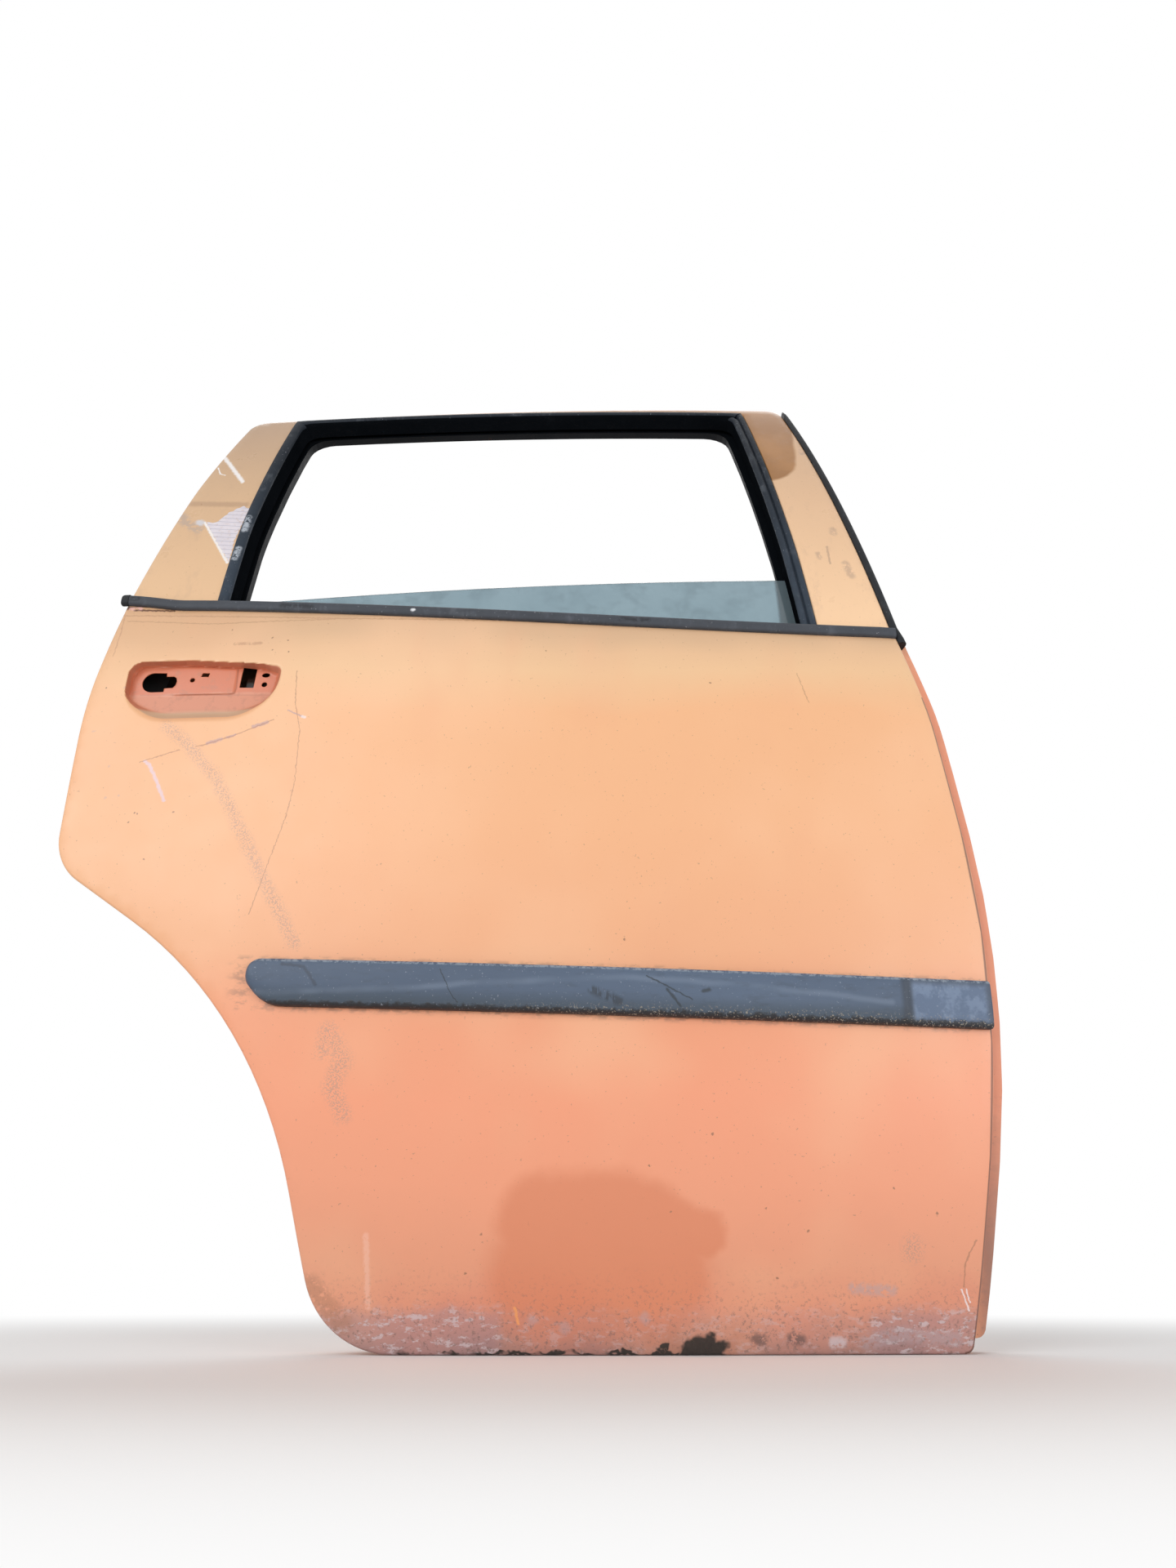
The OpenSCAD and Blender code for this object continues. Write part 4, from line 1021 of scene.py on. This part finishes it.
def glass_sheet():
    """The pane, raked and with a slightly crowned top, on the arc that it slides along."""
    cols, rows = 60, 36
    foot_front = GLASS_FRONT + RAKE * (glass_top(GLASS_FRONT) - GLASS_LOW)
    foot_rear = GLASS_REAR + RAKE * (glass_top(GLASS_REAR) - GLASS_LOW)
    points = []
    for j in range(rows + 1):
        t = j / rows
        x0, x1 = foot_rear + (GLASS_REAR - foot_rear) * t, foot_front + (GLASS_FRONT - foot_front) * t
        for i in range(cols + 1):
            s = i / cols
            x = x0 + (x1 - x0) * s
            crown = 2.0 * (1 - (2 * s - 1) ** 2) - 2.0
            points.append((x, GLASS_LOW + (glass_top(x) + crown - GLASS_LOW) * t))
    n, w = len(points), cols + 1
    verts = [surface(x, z, depth, GLASS_ARC) for depth in (GLASS_IN, GLASS_IN + GLASS_T) for x, z in points]
    faces = []
    for j in range(rows):
        for i in range(cols):
            a = j * w + i
            faces += [(a, a + 1, a + w + 1, a + w), (n + a, n + a + w, n + a + w + 1, n + a + 1)]
    loop = [*range(cols), *(j * w + cols for j in range(rows))]
    loop += [*(rows * w + i for i in range(cols, 0, -1)), *(j * w for j in range(rows, 0, -1))]
    return verts, faces + [(a, n + a, n + b, b) for a, b in zip(loop, loop[1:] + loop[:1])]


glass = finish_mesh("door_glass", *glass_sheet(), glass_material(), "tinted_glass", ("window_glass",))
bevel = glass.modifiers.new("ground_edge", "BEVEL")
bevel.width, bevel.segments, bevel.limit_method = 0.0009, 2, "ANGLE"

# ---------------------------------------------------------------- window seals

# (inset from the painted edge, depth) round the section of each seal, from its outer lip to the channel; the first
# rows are the cover that shows, the others the channel that holds the glass, black rubber made near black as painted
# shade
CHANNEL_BACK = 25.4
FRONT_RUN = [(0.2, 0.4), (0.6, -0.4), (2.0, -1.0), (4.6, -1.1), (6.6, -0.6), (7.4, 0.8), (8.0, 2.6), (9.0, 2.8),
             (9.8, 1.0), (10.8, -0.2), (13.0, -0.6), (15.4, -0.3), (17.0, 0.8), (17.5, 2.4), (17.5, 8), (17.2, 16),
             (17.0, 20.6), (2.5, 20.6), (2.5, CHANNEL_BACK), (23.5, CHANNEL_BACK), (24.4, 26.4), (24, 27.8),
             (0.2, 27.8), (0.2, 14)]
TOP_RUN = [(-5.5, -0.1), (-5.6, -0.6), (-4.8, -1.3), (-3.0, -1.8), (-1.0, -1.8), (0.6, -1.5), (1.8, -1.0), (2.8, -0.3),
           (3.6, 0.6), (4.2, 1.6), (4.8, 2.8), (5.4, 4.2), (6.0, 5.8), (6.6, 7.6), (7.6, 11), (9.0, 15), (10.5, 20.6),
           (3.0, 20.6), (3.0, CHANNEL_BACK), (9.0, CHANNEL_BACK), (9.6, 26.4), (9.0, 27.8), (0.2, 27.8), (0.2, 14)]
REAR_RUN = [(-4.5, -0.1), (-4.6, -0.6), (-3.8, -1.3), (-1.6, -1.7), (1.0, -1.7), (3.0, -1.4), (4.2, -1.0), (5.2, -0.6),
            (6.0, -0.1), (6.8, 0.7), (7.4, 1.8), (7.8, 3.2), (8.0, 5.0), (8.2, 7), (9.0, 11), (11, 17), (12.3, 20.6),
            (7.4, 20.6), (7.4, CHANNEL_BACK), (14.5, CHANNEL_BACK), (15.0, 26.4), (14.6, 27.8), (0.2, 27.8), (0.2, 14)]


def above_belt(line, gap):
    """The part of a rising line that is more than gap above the belt line."""
    out = []
    for p, q in zip(line, line[1:]):
        a, b = p[1] - belt(p[0]) - gap, q[1] - belt(q[0]) - gap
        if a <= 0 < b:
            out.append(p + (q - p) * a / (a - b))
        if b > 0:
            out.append(q)
    return out


def window_parts(front, top, rear, corner, n_side, n_top):
    """Front, top and rear run of a window outline above the belt, mitred at the corners."""
    steps = 12
    pts, owner = rounded(window(front, top, rear, corner), steps)
    first, second = (owner.index(corner_number) + steps // 2 for corner_number in (2, 3))
    front_run, top_run, rear_run = pts[:first + 1], pts[first:second + 1], pts[second:]

    return (resample(above_belt(front_run, 2.0), n_side), resample(top_run, n_top),
            resample(above_belt(rear_run[::-1], 2.0), n_side)[::-1])


def seal_run(part, cover):
    """The seal and the numbers of the faces that belong to its channel."""
    runs, lines = (FRONT_RUN, TOP_RUN, REAR_RUN), []
    for (front, _), (top, _), (rear, _), (_, depth) in zip(*runs, runs[part]):
        corner = min(26.0, max(3.0, 5.0 + 1.1 * (front + top + rear) / 3))
        pts = window_parts(front, top, rear, corner, 46, 60)[part]
        lines.append([surface(x, z, depth) for x, z in pts])
    rings = [list(ring) for ring in zip(*lines)]
    m = len(FRONT_RUN)
    return *ribbon(rings), [i for i in range((len(rings) - 1) * m) if i % m >= cover]


for part, (side, cover) in enumerate((("front", 13), ("top", 7), ("rear", 11))):
    *run, channel = seal_run(part, cover)
    finish_mesh(side + "_glass_seal", *run, seal, "seal_rubber", ("glass_run_" + side,), 60,
                [(channel_rubber_with_painted_shade, channel)])

# ---------------------------------------------------------------- torn blank paper on the rear pillar

PAPER = [(-815, 302), (-792, 261), (-774, 233), (-775, 268), (-771, 300), (-768, 325), (-777, 330), (-792, 318),
         (-803, 301)]
PAPER_T = 0.12
PAPER_EDGE = [(0.25, 0.0), (0.0, 0.05), (0.25, PAPER_T)]
paper_line = [p + np.array((math.sin(k * 2.3) * 0.7, math.sin(k * 1.7 + 1) * 0.8))
              for k, p in enumerate(dense([np.array(q, float) for q in PAPER], 3.0))]
remnant = plate(paper_line, [], 4.0, lambda pts: flat(pts) - 0.16, PAPER_T, PAPER_EDGE, [])
finish_mesh("paper_remnant", *remnant, paper(), None)

# ---------------------------------------------------------------- belt moulding, loose at its rear end

MOULD_X0, MOULD_X1 = REAR + 21, -29.0
LIFT_X, LIFT = MOULD_X0 + 64, 7.2
MOULD_SECTION = [(-6.75, 0.2), (-6.75, -2.2), (-6.2, -3.9), (-4.6, -5.2), (-2.0, -5.8), (1.0, -6.0), (3.6, -5.7),
                 (5.4, -4.6), (6.4, -2.8), (6.75, -1.0), (6.75, 0.2)]
LIP_TOP = 6.6
LIP_SECTION = [(-3.4, 0.0), (0, -0.6), (0.4, 4.0), (-0.2, 18.0), (1.6, 20.7), (-2.8, 20.7), (-3.6, 12.0)]


def mould_z(x):
    """Middle of the moulding: the belt line, lifted at the rear."""
    t = np.clip((LIFT_X - x) / (LIFT_X - MOULD_X0), 0, 1)
    return belt(x) + LIFT * t ** 1.5 * (1.9 - 0.9 * t)


def mould_ring(x):
    return [surface(x, mould_z(x) + t, d) for t, d in MOULD_SECTION]


def wipe_lip():
    """Lip along the glass, inside the window."""
    return ribbon([[surface(x, belt(x) + LIP_TOP + up, depth) for up, depth in LIP_SECTION]
                   for x in np.linspace(WIN_REAR - 5, -126, 70)])


body = ribbon([mould_ring(x) for x in (*np.linspace(MOULD_X0, LIFT_X, 14)[:-1], *np.linspace(LIFT_X, MOULD_X1, 90))])
finish_mesh("belt_line_moulding", *join(body, wipe_lip()), moulding, "moulding_rubber", ("belt_moulding",), sharp=50)

CAP_L = 9.0
cap_rings = []
for t in np.linspace(0, 1, 12):
    size = (1.001 - max(0.0, (t - 0.3) / 0.7) ** 4) ** 0.25
    cap_rings.append([surface(MOULD_X0 + 0.3 - CAP_L * t, mould_z(MOULD_X0) + a * 1.1 * (0.3 + 0.7 * size),
                              d * 1.12 * (0.35 + 0.65 * size)) for a, d in MOULD_SECTION])
finish_mesh("moulding_end_cap", *ribbon(cap_rings), black_rubber, "black_rubber", ("moulding_cap",), sharp=50)

# ---------------------------------------------------------------- rub strip

STRIP_H, STRIP_OUT, PAD_X = 45.5, 11.0, -60.0
STRIP_X0, STRIP_X1 = REAR + 190, 18.0
strip_z0, strip_z1 = strip_mid(STRIP_X0), strip_mid(STRIP_X1)
STRIP = [(STRIP_X0 + 38, strip_z0 - STRIP_H / 2, 40), (STRIP_X1 - 1, strip_z1 - STRIP_H / 2, 3),
         (STRIP_X1, strip_z1 + STRIP_H / 2, 3), (STRIP_X0, strip_z0 + STRIP_H / 2, 15)]


def strip_span(x, line):
    """Lowest and highest point of the strip's outline at x."""
    heights = [p[1] + (q[1] - p[1]) * (x - p[0]) / (q[0] - p[0])
               for p, q in zip(line, line[1:] + line[:1]) if min(p[0], q[0]) <= x < max(p[0], q[0])]
    return min(heights), max(heights)


def strip_depth(x, t):
    """Height of the face at t = -1 (lower edge) to 1, crowned above the middle and falling away below."""
    above = 2.6 * (1 - max(0.0, (t + 0.1) / 1.1) ** 2.4)
    under = 2.6 - 3.2 * max(0.0, (-0.1 - t) / 0.9) ** 1.8
    full = -(STRIP_OUT - 2.6) - (above if t > -0.1 else under)
    pad = -7.9 - 0.5 * (1 - t * t)
    return full + (pad - full) * ease((x - PAD_X + 7) / 9)


# (distance in from the edge, share of the face's height) round one edge
STRIP_EDGE = [(0.6, 0.0), (0.0, 0.1), (0.0, 0.55), (0.35, 0.72), (1.1, 0.87), (2.2, 0.95), (3.6, 1.0)]


def strip_ring(x, line, rise=1.0):
    """Ring round the strip at x; rise is the share of its full height."""
    low, high = strip_span(x, line)
    half, middle_z = (high - low) / 2, (high + low) / 2
    inner = [min(e, half * 0.9) / half for e, _ in STRIP_EDGE]
    ring = [(e - 1, share) for e, (_, share) in zip(inner, STRIP_EDGE)]
    ring += [(t * (1 - inner[-1]), 1.0) for t in np.linspace(-1, 1, 22)[1:-1]]
    ring += [(1 - e, share) for e, (_, share) in reversed(list(zip(inner, STRIP_EDGE)))]
    return [surface(x, middle_z + t * half, strip_depth(x, t) * share * rise) for t, share in ring]


strip_line = [tuple(p) for p in rounded(STRIP, 24)[0]]
rear_tip = min(p[0] for p in strip_line)
stations = [(rear_tip + 30 * u * u, (1 - (1 - min(1.0, 5 * u * u)) ** 2) ** 0.5) for u in np.linspace(0.02, 1, 26)]
stations += [(x, 1.0) for x in (*np.linspace(rear_tip + 34, PAD_X - 8, 90), *np.linspace(PAD_X - 7, PAD_X + 3, 8),
                                *np.linspace(PAD_X + 8, STRIP_X1 - 5, 10))]
stations += [(STRIP_X1 - gap, rise) for gap, rise in ((2.6, 1.0), (1.4, 0.95), (0.7, 0.85), (0.3, 0.7))]
strip_rings = [strip_ring(x, strip_line, rise) for x, rise in stations]
finish_mesh("side_rub_strip", *ribbon(strip_rings), strip_plastic(), "strip_plastic", ("rub_strip",))

# ---------------------------------------------------------------- seal along the front pillar

PILLAR_SECTION = [(0.2, 2.0), (0.0, 0.2), (-1.5, -1.4), (-4.0, -2.4), (-6.6, -1.8), (-8.4, 0.4), (-8.9, 4.0),
                  (-8.4, 10.0), (-7.2, 17.0), (-6.0, 23.6), (0.3, 23.8), (0.3, 12.0)]
CORNER_END = -101


def pillar_seal():
    """From 12 mm under the belt line up the front edge and along the roof to CORNER_END."""
    lines = []
    for w, depth in PILLAR_SECTION:
        pts, owner = rounded(inset(DOOR, [w] * len(DOOR)), 16)
        run = [p for p, o in zip(pts, owner) if o in (2, 3, 4, 5)]
        line = []
        for p, q in zip(run, run[1:]):
            a, b = p[1] - belt(p[0]) + 12, q[1] - belt(q[0]) + 12
            if a <= 0 < b:
                line.append(p + (q - p) * a / (a - b))
            if b > 0 and q[0] > CORNER_END:
                line.append(q)
            elif b > 0 and p[0] > CORNER_END:
                line.append(p + (q - p) * (p[0] - CORNER_END) / (p[0] - q[0]))
        lines.append([surface(x, z, depth) for x, z in resample(line, 60)])
    return ribbon([list(r) for r in zip(*lines)])


finish_mesh("front_edge_seal", *pillar_seal(), black_rubber, "black_rubber", ("front_pillar_seal",), sharp=60)

# ---------------------------------------------------------------- stage, lamps, camera


def floor_material():
    """White floor that keeps the shadow near the door and turns into the backdrop farther off."""
    g = Graph("floor_white")
    place = g.vector("MULTIPLY", g.vector("SUBTRACT", g.pos, (-0.43, 0, 0)), (0.55, 1, 0))
    diffuse = g.node("ShaderNodeBsdfDiffuse", (0.9, 0.9, 0.9))
    white = g.node("ShaderNodeEmission")
    camera_ray = g.node("ShaderNodeLightPath").outputs["Is Camera Ray"]
    far = g.mul(g.step(g.measure("LENGTH", place), 0.3, 0.95), camera_ray)
    blend = g.node("ShaderNodeMixShader", far, diffuse.outputs[0], white.outputs[0])
    g.tree.links.new(blend.outputs[0], g.out.inputs["Surface"])
    return g.mat


floor_mesh = bpy.data.meshes.new("floor")
floor_z = cad_box[0].z - 0.0005
floor_mesh.from_pydata([(-9, -9, floor_z), (9, -9, floor_z), (9, 9, floor_z), (-9, 9, floor_z)], [], [(0, 1, 2, 3)])
floor = bpy.data.objects.new("floor", floor_mesh)
floor_mesh.materials.append(floor_material())
scene.collection.objects.link(floor)

world = bpy.data.worlds.new("studio")
scene.world = world
world.use_nodes = True
new, link = world.node_tree.nodes.new, world.node_tree.links.new
background = world.node_tree.nodes["Background"]
background.inputs["Color"].default_value = (1, 1, 1, 1)
# full strength where the backdrop is seen, less as a light
rays = new("ShaderNodeLightPath").outputs
seen = rays["Is Camera Ray"]
for ray in ("Is Transmission Ray", "Is Glossy Ray"):
    either = new("ShaderNodeMath")
    either.operation = "MAXIMUM"
    link(seen, either.inputs[0])
    link(rays[ray], either.inputs[1])
    seen = either.outputs[0]
strength = new("ShaderNodeMix")
link(seen, strength.inputs[0])
strength.inputs[2].default_value, strength.inputs[3].default_value = 0.43, 1.0
link(strength.outputs[0], background.inputs["Strength"])


def lamp(name, place, aim, size, power):
    """Rectangular lamp at a place, turned toward its aim."""
    data = bpy.data.lights.new(name, "AREA")
    data.shape, data.size, data.size_y, data.energy = "RECTANGLE", size[0], size[1], power
    obj = bpy.data.objects.new(name, data)
    obj.location = place
    obj.rotation_euler = (Vector(aim) - Vector(place)).to_track_quat("-Z", "Y").to_euler()
    scene.collection.objects.link(obj)


middle = (-0.43, 0.0, 0.0)
lamp("key", (-2.4, -2.9, 1.3), middle, (2.4, 2.0), 58)
lamp("fill", (2.0, -2.7, 0.1), (-0.3, 0.0, -0.3), (2.0, 1.6), 38)
lamp("back", (-0.4, 2.0, 3.2), middle, (3.0, 2.0), 42)

cam_data = bpy.data.cameras.new("camera")
cam_data.lens = 27.06
cam_data.sensor_width = 36
cam = bpy.data.objects.new("camera", cam_data)
cam.location = (-0.365, -1.165, -0.505)
cam.rotation_euler = (math.radians(112), 0, 0)
scene.collection.objects.link(cam)
scene.camera = cam
scene.view_settings.view_transform = "Standard"
